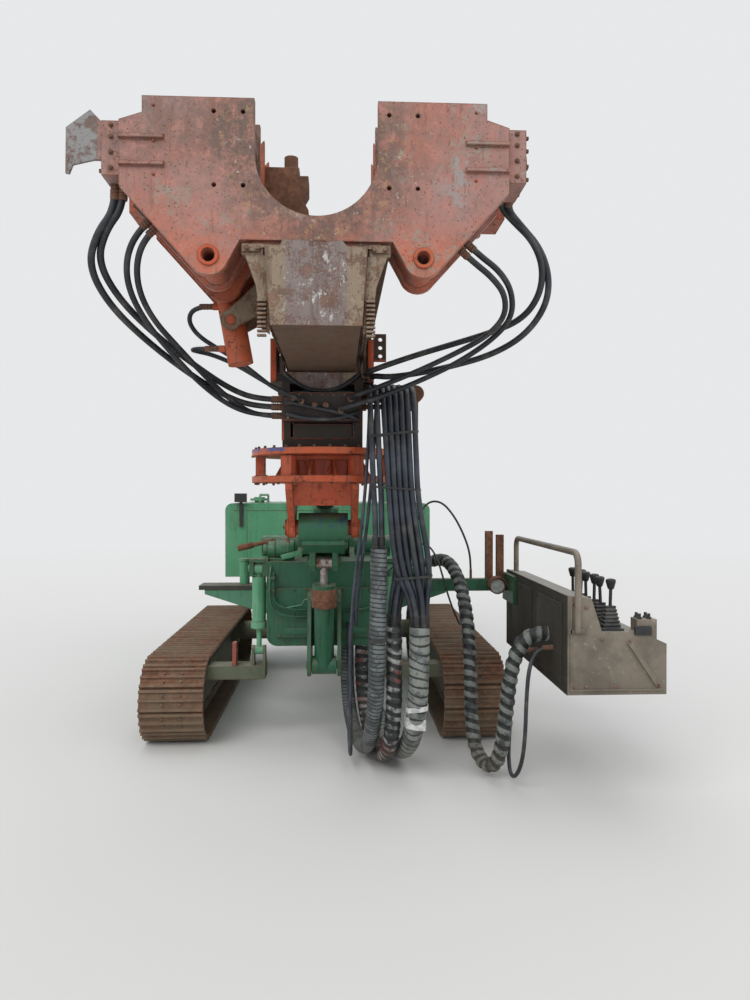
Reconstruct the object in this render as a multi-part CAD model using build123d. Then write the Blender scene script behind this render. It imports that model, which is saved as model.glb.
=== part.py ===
from build123d import *
import os
from math import cos, hypot, pi, radians, sin, tan

# Crawler drilling rig with its mast folded flat over the machine. Millimetres, +Z up.
# X = 0 is the middle of the undercarriage, Y = 0 the middle of the tracks, and the
# drilling end of the mast points to -Y. The last step moves the origin to the middle
# of the whole machine's footprint.

# Gaps
FIT = 0.3
CLEAR = 6.0

# Tracks
TRACK_X = 960.0
SHOE_W = 400.0
TRACK_R = 275.0
AXLE_Y = 1100.0
SHOES = 42
LUG_H = 20.0
SHOE_T = 14.0
LINK_H = 50.0
LINK_W = 150.0
ROLLER_R = 55.0
ROLLERS = 5
FRAME_W = 210.0
FRAME_Z = (150.0, 385.0)
PATH_R = TRACK_R - LUG_H
WHEEL_R = PATH_R - SHOE_T - LINK_H - FIT
WHEEL_W = 90.0
TEETH = 13
TOOTH_H = 16.0

# Chassis
HULL_X = 380.0
HULL_Z = (620.0, 1170.0)
HULL_Y = (-1180.0, 400.0)
HULL_FILLET = 70.0
REAR_Y = 1880.0
REAR_Z = (560.0, 900.0)
AXLE_BEAM_Y = 650.0
AXLE_BEAM_Z = 400.0
AXLE_BEAM_R = 80.0
SWAY_X = 434.0
SWAY_Y = -1120.0
SWAY_TOP_Z = 1120.0
SWAY_EYE_Z = 585.0
SWAY_R = 45.0
SWAY_ROD_R = 17.0

# Engine hood
HOOD_X = 880.0
HOOD_Y = (400.0, 1900.0)
HOOD_Z = (900.0, 1530.0)
HOOD_WALL = 25.0
HOOD_FILLET = 60.0
DOOR_Y = (620.0, 1640.0)
DOOR_Z = (960.0, 1400.0)
DOOR_T = 20.0
DOOR_GAP = 5.0
HINGE_R = 8.0
HINGE_H = 60.0
HINGE_X = HOOD_X + HINGE_R + 1.0
HINGE_Y = DOOR_Y[0] + DOOR_GAP + 6.0
HINGE_Z = (DOOR_Z[0] + 65.0, DOOR_Z[1] - 185.0)
ENGINE = (620.0, 980.0, 480.0)
DECK_Z = 930.0
DECK_T = 30.0
DECK_Y = (-720.0, -530.0)

# Boom
BOOM_PIVOT = (-620.0, 1235.0)
YOKE_PIN = (-1700.0, 1415.0)
BOOM_HALF_W = 123.0
BOOM_ROOT_R = 115.0
HEAD_R = 85.0
HEAD_HALF_W = 142.0
PIN_R = 45.0
LIFT_BASE = (-1470.0, 560.0)
LIFT_TOP = (-1540.0, 1200.0)
LIFT_BARREL_L = 505.0
LIFT_R = 60.0
LIFT_ROD_R = 23.5
TILT_BASE = (-760.0, 1480.0)
TILT_TOP = (-1530.0, 1611.0)
TILT_BARREL_L = 600.0
TILT_R = 55.0
TILT_ROD_R = 27.0
EYE_R = 42.0

# Yoke and turntable
YOKE_IN = 161.0
YOKE_OUT = 199.0
RING_Y = -1680.0
RING_R = 413.0
RING_Z = (1674.0, 1800.0, 1862.0)
RING_FLANGE = 36.0

# Cradle and mast
CRADLE_X = 220.0
CRADLE_Y = (-2000.0, -1300.0)
MANIFOLD_X = 210.0
MANIFOLD_Z = (2000.0, 2150.0)
MAST_Z = (2275.0, 2580.0)
MAST_TOP_X = 197.0
MAST_LOW_X = 176.0
MAST_Y = (-3130.0, 3250.0)
NOSE_T = 20.0
RAIL_X = 290.0
RAIL_T = 30.0
DRILL_Z = 2962.0
CHAIN_R = 52.0
CHAIN_Z = 2410.0
CHAIN_X = 215.0
CHAIN_W = 26.0
CHAIN_Y = (-2980.0, 3100.0)

# Clamps
CLAMP_Y = (-3080.0, -2830.0)
BREAK_Y = (-2680.0, -2430.0)
PLATE_T = 35.0
THROAT_R = 245.0
LOBE = (428.0, -407.0)
LOBE_R = 80.0
LOBE_HOLE_R = 25.0
JAW_L = 300.0
JAW_Z = (-90.0, 145.0)
JAW_W = 120.0
JAW_STROKE = 200.0
JAW_LUG_X = 82.0
JAW_LUG_R = 32.0
TRUNNION = (-400.0, -562.0)
BREAK_R = 58.0
BREAK_ROD_R = 24.0
BREAK_BARREL = (-190.0, 112.0)
# X of the face and Z from the drill axis
BREAK_PORTS = ((-495.0, -482.0), (-470.0, -677.0))
PORT_R = 16.0
RIB_Z = 53.0
PLATE_HOLE_R = 9.0
# X and Z from the drill axis
PLATE_HOLES = ((290.0, 160.0), (405.0, 160.0), (290.0, -130.0), (405.0, -130.0))

# Drill head
HEAD_Y = 1100.0
CARRIAGE_L = 900.0
SPINDLE_R = 62.0

# Hoses
RUN_SHARE = 0.45

# Console
ARM_PIVOT = (620.0, -1000.0)
CONSOLE_X = (1230.0, 1740.0)
CONSOLE_Y = (-2380.0, -1030.0)
CONSOLE_Z = (600.0, 1100.0)
CONSOLE_SHELF_Z = 915.0
LAMP_X = 1140.0
LAMP_Z = 1000.0
LAMP_R = 54.0
POST_W = 48.0
LEVERS = 6
LEVER_PITCH = 120.0


def polygon(points):
    """Flat face inside the given corners."""
    return make_face(Polyline(*points, close=True))


def along_x(face, x0, x1):
    """Push a (Y, Z) face from x0 to x1."""
    return extrude(Plane.YZ.offset(x0) * face, x1 - x0)


def along_y(face, y0, y1):
    """Push an (X, Z) face from y0 to y1."""
    return extrude(Plane.XZ.offset(-y0) * face, y0 - y1)


def along_z(face, z0, z1):
    """Push an (X, Y) face from z0 to z1."""
    return extrude(Plane.XY.offset(z0) * face, z1 - z0)


def block(x, y, z):
    """Box between two values on each axis."""
    size = (x[1] - x[0], y[1] - y[0], z[1] - z[0])
    middle = ((x[0] + x[1]) / 2, (y[0] + y[1]) / 2, (z[0] + z[1]) / 2)
    return Pos(*middle) * Box(*size)


def disc_x(centre, radius, x0, x1):
    """Round bar along X at a (Y, Z) centre."""
    return along_x(Pos(*centre) * Circle(radius), x0, x1)


def disc_y(centre, radius, y0, y1):
    """Round bar along Y at an (X, Z) centre."""
    return along_y(Pos(*centre) * Circle(radius), y0, y1)


def disc_z(centre, radius, z0, z1):
    """Round bar along Z at an (X, Y) centre."""
    return along_z(Pos(*centre) * Circle(radius), z0, z1)


def both_sides(shape):
    """The shape and its mirror image across the machine."""
    return [shape, mirror(shape, about=Plane.YZ)]


def ram_plane(base, top, x):
    """Plane at the base pin whose Z axis points at the rod's eye, in the (Y, Z) plane."""
    along = Vector(0, top[0] - base[0], top[1] - base[1])
    return Plane(origin=(x, base[0], base[1]), x_dir=(1, 0, 0), z_dir=along)


# Tracks

# share of the shoe's pitch, height over the plate: three bars with a notch between shoes
SHOE_PROFILE = (
    (0.00, -8.0),
    (0.03, 0.0),
    (0.07, LUG_H),
    (0.17, LUG_H),
    (0.22, 0.0),
    (0.43, 0.0),
    (0.47, LUG_H),
    (0.56, LUG_H),
    (0.60, 0.0),
    (0.80, 0.0),
    (0.84, LUG_H),
    (0.94, LUG_H),
    (0.97, 0.0),
)


def loop_point(run, radius):
    """(Y, Z) of a point on the loop, by its run along the shoes and its radius."""
    straight = 2 * AXLE_Y
    arc = pi * PATH_R
    run = run % (2 * (straight + arc))
    if run < straight:
        return (run - AXLE_Y, TRACK_R + radius)
    run -= straight
    if run < arc:
        return (AXLE_Y + radius * sin(run / PATH_R), TRACK_R + radius * cos(run / PATH_R))
    run -= arc
    if run < straight:
        return (AXLE_Y - run, TRACK_R - radius)
    run -= straight
    return (-AXLE_Y - radius * sin(run / PATH_R), TRACK_R - radius * cos(run / PATH_R))


def oval(radius, x0, x1):
    """Solid loop round both wheels at one radius."""
    return along_x(Pos(0, TRACK_R) * SlotCenterToCenter(2 * AXLE_Y, 2 * radius), x0, x1)


def track():
    """Shoes with their lugs, and the link chain inside them, on the left side."""
    pitch = 2 * (2 * AXLE_Y + pi * PATH_R) / SHOES
    outline = [
        loop_point((shoe + share) * pitch, PATH_R + height)
        for shoe in range(SHOES)
        for share, height in SHOE_PROFILE
    ]
    x0 = -TRACK_X - SHOE_W / 2
    shoes = along_x(polygon(outline), x0, x0 + SHOE_W)
    inner = PATH_R - SHOE_T
    links = oval(inner, -TRACK_X - LINK_W / 2, -TRACK_X + LINK_W / 2)
    hole = oval(inner - LINK_H, x0, x0 + SHOE_W)
    return shoes - oval(inner, x0, x0 + SHOE_W) + (links - hole)


def idler():
    """Front wheel with a raised middle rib."""
    centre = (-AXLE_Y, TRACK_R)
    half = WHEEL_W / 2
    rim = disc_x(centre, WHEEL_R, -TRACK_X - half, -TRACK_X + half)
    dish = disc_x(centre, WHEEL_R - 35, -TRACK_X + half - 25, -TRACK_X + half)
    dish += disc_x(centre, WHEEL_R - 35, -TRACK_X - half, -TRACK_X - half + 25)
    hub = disc_x(centre, 55, -TRACK_X - half, -TRACK_X + half)
    return rim - dish + hub


def sprocket():
    """Rear drive wheel with its teeth, and the drive housing on the inner side."""
    centre = (AXLE_Y, TRACK_R)
    step = 2 * pi / TEETH
    # share of a tooth's pitch, radius
    profile = (
        (0.00, WHEEL_R - TOOTH_H),
        (0.30, WHEEL_R - TOOTH_H),
        (0.45, WHEEL_R),
        (0.75, WHEEL_R),
    )
    outline = [
        (centre[0] + r * cos((n + share) * step), centre[1] + r * sin((n + share) * step))
        for n in range(TEETH)
        for share, r in profile
    ]
    half = WHEEL_W / 4
    wheel = along_x(polygon(outline), -TRACK_X - half, -TRACK_X + half)
    return wheel + disc_x(centre, 120, -TRACK_X - 70, -TRACK_X + 70)


def track_frame():
    """Beam with forks for the wheels, rollers, sway bracket and lashing lug."""
    low, high = FRAME_Z
    end = AXLE_Y - WHEEL_R - 25
    x0 = -TRACK_X - FRAME_W / 2
    x1 = x0 + FRAME_W
    side = [(-end, low + 40), (-end + 60, low), (end - 60, low), (end, low + 40),
            (end, high - 30), (end - 80, high), (-end + 80, high), (-end, high - 30)]
    frame = along_x(polygon(side), x0, x1)
    for fork in (x0, x1 - 25):
        for sign in (-1, 1):
            arm = block((fork, fork + 25), sorted((sign * (end - 60), sign * AXLE_Y)),
                        (TRACK_R - 60, TRACK_R + 60))
            frame += arm + disc_x((sign * AXLE_Y, TRACK_R), 60, fork, fork + 25)
    frame += disc_x((-AXLE_Y, TRACK_R), 30, x0, x1) - disc_x((-AXLE_Y, TRACK_R), 56, x0 + 50, x1 - 50)
    pad = PATH_R - SHOE_T - LINK_H
    for n in range(ROLLERS):
        y = -end + 120 + n * (2 * end - 240) / (ROLLERS - 1)
        frame += disc_x((y, TRACK_R - pad + ROLLER_R + FIT), ROLLER_R, -TRACK_X - 85, -TRACK_X + 85)
    for y in (-end / 2, end / 2):
        frame += disc_x((y, TRACK_R + pad - 40 - FIT), 40, -TRACK_X - 60, -TRACK_X + 60)
        frame += block((-TRACK_X - 40, -TRACK_X + 40), (y - 35, y + 35), (high - 5, TRACK_R + pad - 50))
    frame += disc_x((AXLE_BEAM_Y, AXLE_BEAM_Z), AXLE_BEAM_R + 25, x1 - 5, x1 + 60)
    frame -= disc_x((AXLE_BEAM_Y, AXLE_BEAM_Z), AXLE_BEAM_R, x1, x1 + 60)
    frame += block((x1 - 25, x1), (-AXLE_Y - 60, -end), (TRACK_R, 490))
    frame += block((x1 - 25, -SWAY_X + 45), (SWAY_Y - 60, SWAY_Y + 90), (405, 490))
    frame += along_x(
        fillet(polygon([(SWAY_Y - 50, 485), (SWAY_Y + 50, 485), (SWAY_Y + 30, 640),
                        (SWAY_Y - 30, 640)]).vertices(), 12)
        - Pos(SWAY_Y, 590) * Circle(22), -SWAY_X - 170, -SWAY_X - 145)
    for x in (-SWAY_X - 45, -SWAY_X + 27):
        frame += along_x(
            polygon([(SWAY_Y - 40, 485), (SWAY_Y + 40, 485), (SWAY_Y + 30, SWAY_EYE_Z),
                     (SWAY_Y - 30, SWAY_EYE_Z)]), x, x + 18)
        frame += disc_x((SWAY_Y, SWAY_EYE_Z), 32, x, x + 18)
    return frame


def sway_ram():
    """Cylinder between the hull and a track frame."""
    x = -SWAY_X
    top = (SWAY_Y, SWAY_TOP_Z)
    ram = disc_z((x, SWAY_Y), SWAY_R, 760, SWAY_TOP_Z - 52)
    ram += disc_z((x, SWAY_Y), 20, 760, SWAY_TOP_Z)
    ram += disc_z((x, SWAY_Y), SWAY_R + 8, 730, 775)
    ram += disc_z((x, SWAY_Y), SWAY_ROD_R, SWAY_EYE_Z, 740)
    ram += disc_x((SWAY_Y, SWAY_EYE_Z), 28, x - 27 + FIT, x + 27 - FIT)
    ram += disc_x(top, 40, x - 27, x + 27) + disc_x(top, 22, x - 70, x + 40)
    return ram


# Chassis and hood


def axle_beam():
    """Cross tube that carries both track frames, with its saddle under the hull."""
    reach = TRACK_X - FRAME_W / 2
    beam = disc_x((AXLE_BEAM_Y, AXLE_BEAM_Z), AXLE_BEAM_R, -reach, reach)
    saddle = polygon([(AXLE_BEAM_Y - 230, REAR_Z[0]), (AXLE_BEAM_Y - 120, AXLE_BEAM_Z - 60),
                      (AXLE_BEAM_Y + 120, AXLE_BEAM_Z - 60), (AXLE_BEAM_Y + 230, REAR_Z[0])])
    return beam + along_x(saddle, -HULL_X + 60, HULL_X - 60)


def chassis():
    """Rounded front hull and the lower frame under the hood."""
    low, high = HULL_Z
    front = polygon([(-HULL_X, low), (HULL_X, low), (HULL_X, high), (-HULL_X, high)])
    corners = front.vertices().sort_by(Axis.Y)
    front = fillet(corners[:2], HULL_FILLET)
    hull = along_y(front, *HULL_Y)
    rear = block((-HULL_X, HULL_X), (HULL_Y[1] - 20, REAR_Y), REAR_Z)
    y, z = BOOM_PIVOT
    well = BOOM_HALF_W + 35 + CLEAR
    body = hull + rear - block((-well, well), (y - 150, y + 150), (z - BOOM_ROOT_R - 15, high + 1))
    for x in (-SWAY_X, SWAY_X):
        inner = HULL_X - 10 if x > 0 else -HULL_X + 10
        outer = x + 60 if x > 0 else x - 60
        lug = block(sorted((inner, outer)), (SWAY_Y - 55, SWAY_Y + 55), (SWAY_TOP_Z + 48, SWAY_TOP_Z + 66))
        for side in (x - 60, x + 30):
            lug += block((side, side + 30), (SWAY_Y - 45, SWAY_Y + 45), (SWAY_TOP_Z - 45, SWAY_TOP_Z + 60))
        body += lug - disc_x((SWAY_Y, SWAY_TOP_Z), 22 + FIT, x - 75, x + 75)
    return body


def boom_bracket():
    """Plates on the hull for the boom's foot pin, and in front for the lift cylinder."""
    y, z = BOOM_PIVOT
    cheek = polygon([(y - 260, HULL_Z[1]), (y + 260, HULL_Z[1]), (y + 110, z), (y - 110, z)])
    cheek += Pos(y, z) * Circle(BOOM_ROOT_R)
    inner = BOOM_HALF_W + 35 + CLEAR
    parts = Part()
    for side in (-1, 1):
        x0, x1 = sorted((side * inner, side * (inner + 35)))
        parts += along_x(cheek, x0, x1)
        x0, x1 = sorted((side * (inner + 30), side * 460))
        parts += disc_x(BOOM_PIVOT, 75, x0, x1)
        parts += block((x0, x1), (y - 60, y + 60), (HULL_Z[1], z))
    pin = disc_x(BOOM_PIVOT, PIN_R, -inner - 10, inner + 10)
    y, z = LIFT_BASE
    foot = polygon([(HULL_Y[0], 990), (HULL_Y[0], 500), (y + 60, z - 62), (y - 30, z - 62),
                    (y - 62, z - 30), (y - 62, z + 40), (y + 60, 940), (y + 110, 990)])
    for x in (-104, 80):
        parts += along_x(foot, x, x + 24)
    parts += disc_x(LIFT_BASE, 25, -110, 110)
    parts += block((-HULL_X + 60, HULL_X - 60), (HULL_Y[0] - 25, HULL_Y[0]), (680, 1000))
    return parts + pin - block((-HULL_X, HULL_X), HULL_Y, HULL_Z)


def hood():
    """Sheet-metal cover with a door hole in each side and an open back for the grille."""
    outer = fillet(polygon([(-HOOD_X, HOOD_Z[0]), (HOOD_X, HOOD_Z[0]), (HOOD_X, HOOD_Z[1]),
                            (-HOOD_X, HOOD_Z[1])]).vertices().sort_by(Axis.Y)[2:], HOOD_FILLET)
    shell = along_y(outer, *HOOD_Y)
    hole_x = HOOD_X - HOOD_WALL
    hole_z = (HOOD_Z[0] + HOOD_WALL, HOOD_Z[1] - HOOD_WALL)
    inside = fillet(polygon([(-hole_x, hole_z[0]), (hole_x, hole_z[0]), (hole_x, hole_z[1]),
                             (-hole_x, hole_z[1])]).vertices().sort_by(Axis.Y)[2:],
                    HOOD_FILLET - HOOD_WALL)
    shell -= along_y(inside, HOOD_Y[0] + HOOD_WALL, HOOD_Y[1] - HOOD_WALL)
    grille = block((-hole_x + 110, hole_x - 110), (HOOD_Y[1] - 2 * HOOD_WALL, HOOD_Y[1] + 1),
                   (hole_z[0] + 60, hole_z[1] - 60))
    doors = block((-HOOD_X - 1, HOOD_X + 1), DOOR_Y, DOOR_Z)
    shell -= grille + doors
    for side in (-1, 1):
        for z in HINGE_Z:
            span = (z + HINGE_H + FIT, z + 2 * HINGE_H)
            shell += disc_z((side * HINGE_X, HINGE_Y), HINGE_R, *span)
            shell += block(sorted((side * HINGE_X, side * (HOOD_X - 5))), (DOOR_Y[0] - 30, DOOR_Y[0]), span)
            shell += block(sorted((side * (HINGE_X - 3), side * (HINGE_X + 3))), (DOOR_Y[0] - 30, HINGE_Y), span)
    return shell


def hood_grille():
    """Slatted panel that fills the hole in the hood's back."""
    x = HOOD_X - HOOD_WALL - 110
    z0 = HOOD_Z[0] + HOOD_WALL + 60
    z1 = HOOD_Z[1] - HOOD_WALL - 60
    y0 = HOOD_Y[1] - HOOD_WALL
    frame = block((-x, x), (y0, HOOD_Y[1]), (z0, z1)) - block((-x + 30, x - 30), (y0, HOOD_Y[1]), (z0 + 30, z1 - 30))
    slats = 9
    step = (z1 - z0 - 60) / slats
    for n in range(slats):
        z = z0 + 30 + n * step
        blade = polygon([(y0, z), (y0 + 6, z), (HOOD_Y[1], z + step * 0.6), (HOOD_Y[1] - 6, z + step * 0.6)])
        frame += along_x(blade, -x + 20, x - 20)
    return frame


def hood_door():
    """Flat door in the left side of the hood, with hinge barrels on its front edge."""
    y = (DOOR_Y[0] + DOOR_GAP, DOOR_Y[1] - DOOR_GAP)
    door = block((-HOOD_X, -HOOD_X + DOOR_T), y, (DOOR_Z[0] + DOOR_GAP, DOOR_Z[1] - DOOR_GAP))
    for z in HINGE_Z:
        door += disc_z((-HINGE_X, HINGE_Y), HINGE_R, z, z + HINGE_H)
        door += block((-HINGE_X, -HOOD_X + 5), (HINGE_Y, HINGE_Y + 30), (z, z + HINGE_H))
    return door


def engine():
    """Plain block for the engine at its real place."""
    width, length, height = ENGINE
    y = (HOOD_Y[0] + HOOD_Y[1]) / 2
    z = HOOD_Z[0] + HOOD_WALL
    return block((-width / 2, width / 2), (y - length / 2, y + length / 2), (z, z + height))


def stacks():
    """Air cleaner cap and exhaust pipe on the hood."""
    top = HOOD_Z[1]
    cap = disc_z((-640, 900), 45, top, top + 18) + disc_z((-640, 900), 85, top + 18, top + 40)
    cap += disc_z((-640, 900), 50, top + 40, top + 52)
    pipe = disc_z((560, 1500), 42, top, top + 300) - disc_z((560, 1500), 36, top + 60, top + 300)
    lid = disc_z((-150, 620), 60, top, top + 35)
    return [cap, pipe, lid]


def decks():
    """Step boards beside the hull with their brackets."""
    y0, y1 = DECK_Y
    board = block((-900, -HULL_X), DECK_Y, (DECK_Z, DECK_Z + DECK_T))
    board -= block((-880, -HULL_X - 20), (y0 + 20, y1 - 20), (DECK_Z - 1, DECK_Z + DECK_T - 6))
    for y in (y0 + 6, y1 - 20):
        board += along_y(polygon([(-860, DECK_Z + 5), (-HULL_X, DECK_Z + 5), (-HULL_X, DECK_Z - 170),
                                  (-HULL_X - 60, DECK_Z - 170), (-860, DECK_Z - 30)]), y, y + 14)
    return board


def deck_fittings():
    """Oil pot on the left step board and the small lamp on its post in front of the hood."""
    top = DECK_Z + DECK_T
    pot = disc_z((-592, -600), 36, top, top + 165) + disc_z((-592, -600), 42, top + 165, top + 182)
    post = block((-758, -732), (HOOD_Y[0] - 25, HOOD_Y[0]), (HOOD_Z[1] - 200, HOOD_Z[1] + 15))
    lamp = block((-795, -695), (HOOD_Y[0] - 55, HOOD_Y[0]), (HOOD_Z[1] + 10, HOOD_Z[1] + 85))
    return [pot, post + lamp]


# Boom and its cylinders


def boom():
    """Box boom with a drum at the head, a foot tube and lugs for both cylinders."""
    foot_y, foot_z = BOOM_PIVOT
    head_y, head_z = YOKE_PIN
    side = polygon([(foot_y + 20, foot_z + BOOM_ROOT_R - 10), (foot_y + 10, foot_z - BOOM_ROOT_R + 25),
                    (foot_y - 150, foot_z - 25), (head_y + 520, foot_z + 5), (head_y + 110, head_z - 165),
                    (head_y - 40, head_z - 100), (head_y - 30, head_z + 40), (head_y + 40, head_z + HEAD_R - 6)])
    body = along_x(side, -BOOM_HALF_W, BOOM_HALF_W)
    body += disc_x(BOOM_PIVOT, BOOM_ROOT_R - 5, -BOOM_HALF_W - 35, BOOM_HALF_W + 35)
    body -= disc_x(BOOM_PIVOT, PIN_R + FIT, -BOOM_HALF_W - 40, BOOM_HALF_W + 40)
    body += disc_x(YOKE_PIN, HEAD_R, -HEAD_HALF_W, HEAD_HALF_W)
    body -= disc_x(YOKE_PIN, PIN_R + FIT, -HEAD_HALF_W - 5, HEAD_HALF_W + 5)
    y, z = LIFT_TOP
    slot = block((-50, 50), (y - 75, y + 110), (z - 95, z + 62))
    cheek = polygon([(y - 90, z + 110), (y + 150, z + 110), (y + 60, z - 30), (y + 30, z - 55),
                     (y - 30, z - 55), (y - 60, z - 20)])
    for x in (-85, 50):
        body += along_x(cheek, x, x + 35)
    body -= slot
    for x in (-100, 62):
        body += disc_x(LIFT_TOP, 30, x, x + 38)
    y, z = TILT_BASE
    lug = polygon([(y - 130, z - 150), (y + 110, z - 190), (y + 50, z), (y - 50, z)])
    lug += Pos(y, z) * Circle(50)
    gap = TILT_R + 3
    for x in (-gap - 30, gap):
        body += along_x(lug, x, x + 30)
    body += disc_x(TILT_BASE, 25, -gap - 30, gap + 30)
    return body


def ram_barrel(base, top, x, radius, length, rod_r, eye_w, foot_r):
    """Cylinder tube with its foot eye, gland and bore, laid from base towards top."""
    tube = extrude(Circle(radius), length - 30)
    tube += Pos(0, 0, length - 130) * extrude(Circle(radius + 13), 130)
    tube += Plane.YZ.offset(-eye_w / 2) * extrude(Circle(foot_r), eye_w)
    tube -= Pos(0, 0, foot_r + 5) * extrude(Circle(rod_r + FIT), length)
    tube -= Plane.YZ.offset(-eye_w) * extrude(Circle(25 + FIT), 2 * eye_w)
    return ram_plane(base, top, x) * tube


def ram_rod(base, top, x, rod_r, start, eye_w, eye_r):
    """Rod with its eye, from start along the bore to the top pin."""
    length = hypot(top[0] - base[0], top[1] - base[1])
    rod = Pos(0, 0, start) * extrude(Circle(rod_r), length - start)
    eye = Plane.YZ.offset(-eye_w / 2) * extrude(Circle(eye_r), eye_w)
    return ram_plane(base, top, x) * (rod + Pos(0, 0, length) * eye)


# Yoke, turntable and cradle


def yoke():
    """Two cheeks on the boom head's pin under the lower half of the turntable."""
    y, z = YOKE_PIN
    top = RING_Z[0]
    cheek = polygon([(y - 55, z), (y - 330, top - 40), (y - 330, top), (y + 330, top), (y + 330, top - 40),
                     (y + 55, z)]) + Pos(y, z) * Circle(60)
    body = Part()
    for side in (-1, 1):
        x0, x1 = sorted((side * YOKE_IN, side * YOKE_OUT))
        body += along_x(cheek, x0, x1)
        x0, x1 = sorted((side * YOKE_OUT, side * (YOKE_OUT + 14)))
        body += disc_x(YOKE_PIN, 52, x0, x1)
    body += disc_x(YOKE_PIN, PIN_R, -YOKE_OUT, YOKE_OUT)
    web = polygon([(y - 260, top), (y - 200, z + HEAD_R + 45), (y + 60, z + HEAD_R + 45), (y + 60, top)])
    body += along_x(web, -YOKE_IN, YOKE_IN)
    lug_y, lug_z = TILT_TOP
    lug = polygon([(lug_y - 120, top), (lug_y + 90, top), (lug_y + 45, lug_z), (lug_y - 45, lug_z)])
    lug += Pos(lug_y, lug_z) * Circle(45)
    for x in (-78, 50):
        body += along_x(lug, x, x + 28)
    for x in (-92, 78):
        body += disc_x(TILT_TOP, 30, x, x + 14)
    body += disc_z((0, RING_Y), RING_R, top, top + RING_FLANGE)
    body += disc_z((0, RING_Y), 215, top, RING_Z[1])
    body += disc_z((0, RING_Y), 90, RING_Z[1] - 5, RING_Z[2] - 10)
    for n in range(12):
        rib = along_x(polygon([(200, top + 10), (300, top + 10), (235, RING_Z[1]), (200, RING_Z[1])]), -9, 9)
        body += Pos(0, RING_Y, 0) * Rot(0, 0, n * 30 + 15) * rib
    pillar_top = RING_Z[2] - RING_FLANGE - CLEAR
    for n in range(6):
        pillar = block((RING_R - 75, RING_R - 22), (-34, 34), (top + 10, pillar_top))
        body += Pos(0, RING_Y, 0) * Rot(0, 0, n * 60) * pillar
    return body


def slew_ring():
    """Upper half of the turntable."""
    ring = disc_z((0, RING_Y), RING_R, RING_Z[2] - RING_FLANGE, RING_Z[2])
    ring += disc_z((0, RING_Y), 230, RING_Z[1] + FIT, RING_Z[2])
    return ring - disc_z((0, RING_Y), 90 + FIT, RING_Z[1] - 1, RING_Z[2] - 8)


def cradle():
    """Box on the turntable whose shoes hold the mast's lower flanges."""
    low = RING_Z[2]
    high = MAST_Z[0]
    y0, y1 = CRADLE_Y
    side = polygon([(y0 + 60, low), (y1 - 60, low), (y1, high - 140), (y1, high - FIT), (y0, high - FIT),
                    (y0, high - 140)])
    body = along_x(side, -CRADLE_X, CRADLE_X)
    body -= block((-CRADLE_X + 45, CRADLE_X - 45), (y0 - 5, y1 + 5), (low + 60, high - 70))
    body += block((-MANIFOLD_X, MANIFOLD_X), (y0 - 85, y0 + 35), MANIFOLD_Z)
    body += block((-CRADLE_X + 60, CRADLE_X - 60), (y0 + 40, y0 + 260), (low + 50, MANIFOLD_Z[0] - 6))
    for side in (-1, 1):
        for y in ((y0, y0 + 200), (y1 - 200, y1)):
            x0, x1 = sorted((side * (MAST_TOP_X + 48), side * (MAST_TOP_X + 83)))
            body += block((x0, x1), y, (high - 60, MAST_Z[1] - RAIL_T - 100))
            x0, x1 = sorted((side * (CRADLE_X - 20), side * (MAST_TOP_X + 83)))
            body += block((x0, x1), y, (high - 60, high - 10))
    plate = block((MAST_TOP_X + 80, MAST_TOP_X + 150), (y0, y0 + 15), (high + 55, high + 205))
    for z in (high + 85, high + 130, high + 175):
        plate -= disc_y((MAST_TOP_X + 118, z), 11, y0 - 1, y0 + 16)
    return body + plate


def hose_bracket():
    """Beam on the right of the cradle with a hook bar and post for the hoses."""
    y = CRADLE_Y[0] + 90
    body = block((CRADLE_X, 520), (y - 40, y + 40), (2120, 2210))
    body += disc_y((515, 2165), 45, y - 40, y + 40)
    body += block((500, 530), (y - 15, y + 15), (1960, 2140))
    body += disc_x((y - 80, 2085), 14, CRADLE_X, 500)
    for x in (CRADLE_X, 480):
        body += block((x, x + 20), (y - 94, y), (2071, 2130))
    return body


# Mast


def mast_beam():
    """Tapered box beam alone."""
    low, high = MAST_Z
    beam = polygon([(-MAST_LOW_X, low), (MAST_LOW_X, low), (MAST_TOP_X, high), (-MAST_TOP_X, high)])
    return along_y(beam, *MAST_Y)


def mast():
    """Mast beam with the feed sprockets on their shafts."""
    low, high = MAST_Z
    y0 = MAST_Y[0]
    body = mast_beam()
    nose = polygon([(-MAST_LOW_X - 5, low - 5), (MAST_LOW_X + 5, low - 5), (MAST_TOP_X + 5, high - 5),
                    (MAST_TOP_X - 75, high + 2), (MAST_TOP_X - 98, high + 26), (30, high + 18), (-60, high + 24),
                    (-MAST_TOP_X + 66, high + 26), (-MAST_TOP_X + 56, high), (-MAST_TOP_X - 5, high - 5)])
    body += along_y(nose, y0, y0 + NOSE_T)
    for y in CHAIN_Y:
        body += disc_x((y, CHAIN_Z), CHAIN_R - 16, -CHAIN_X - CHAIN_W / 2 - 6, CHAIN_X + CHAIN_W / 2 + 6)
    return body


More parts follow.
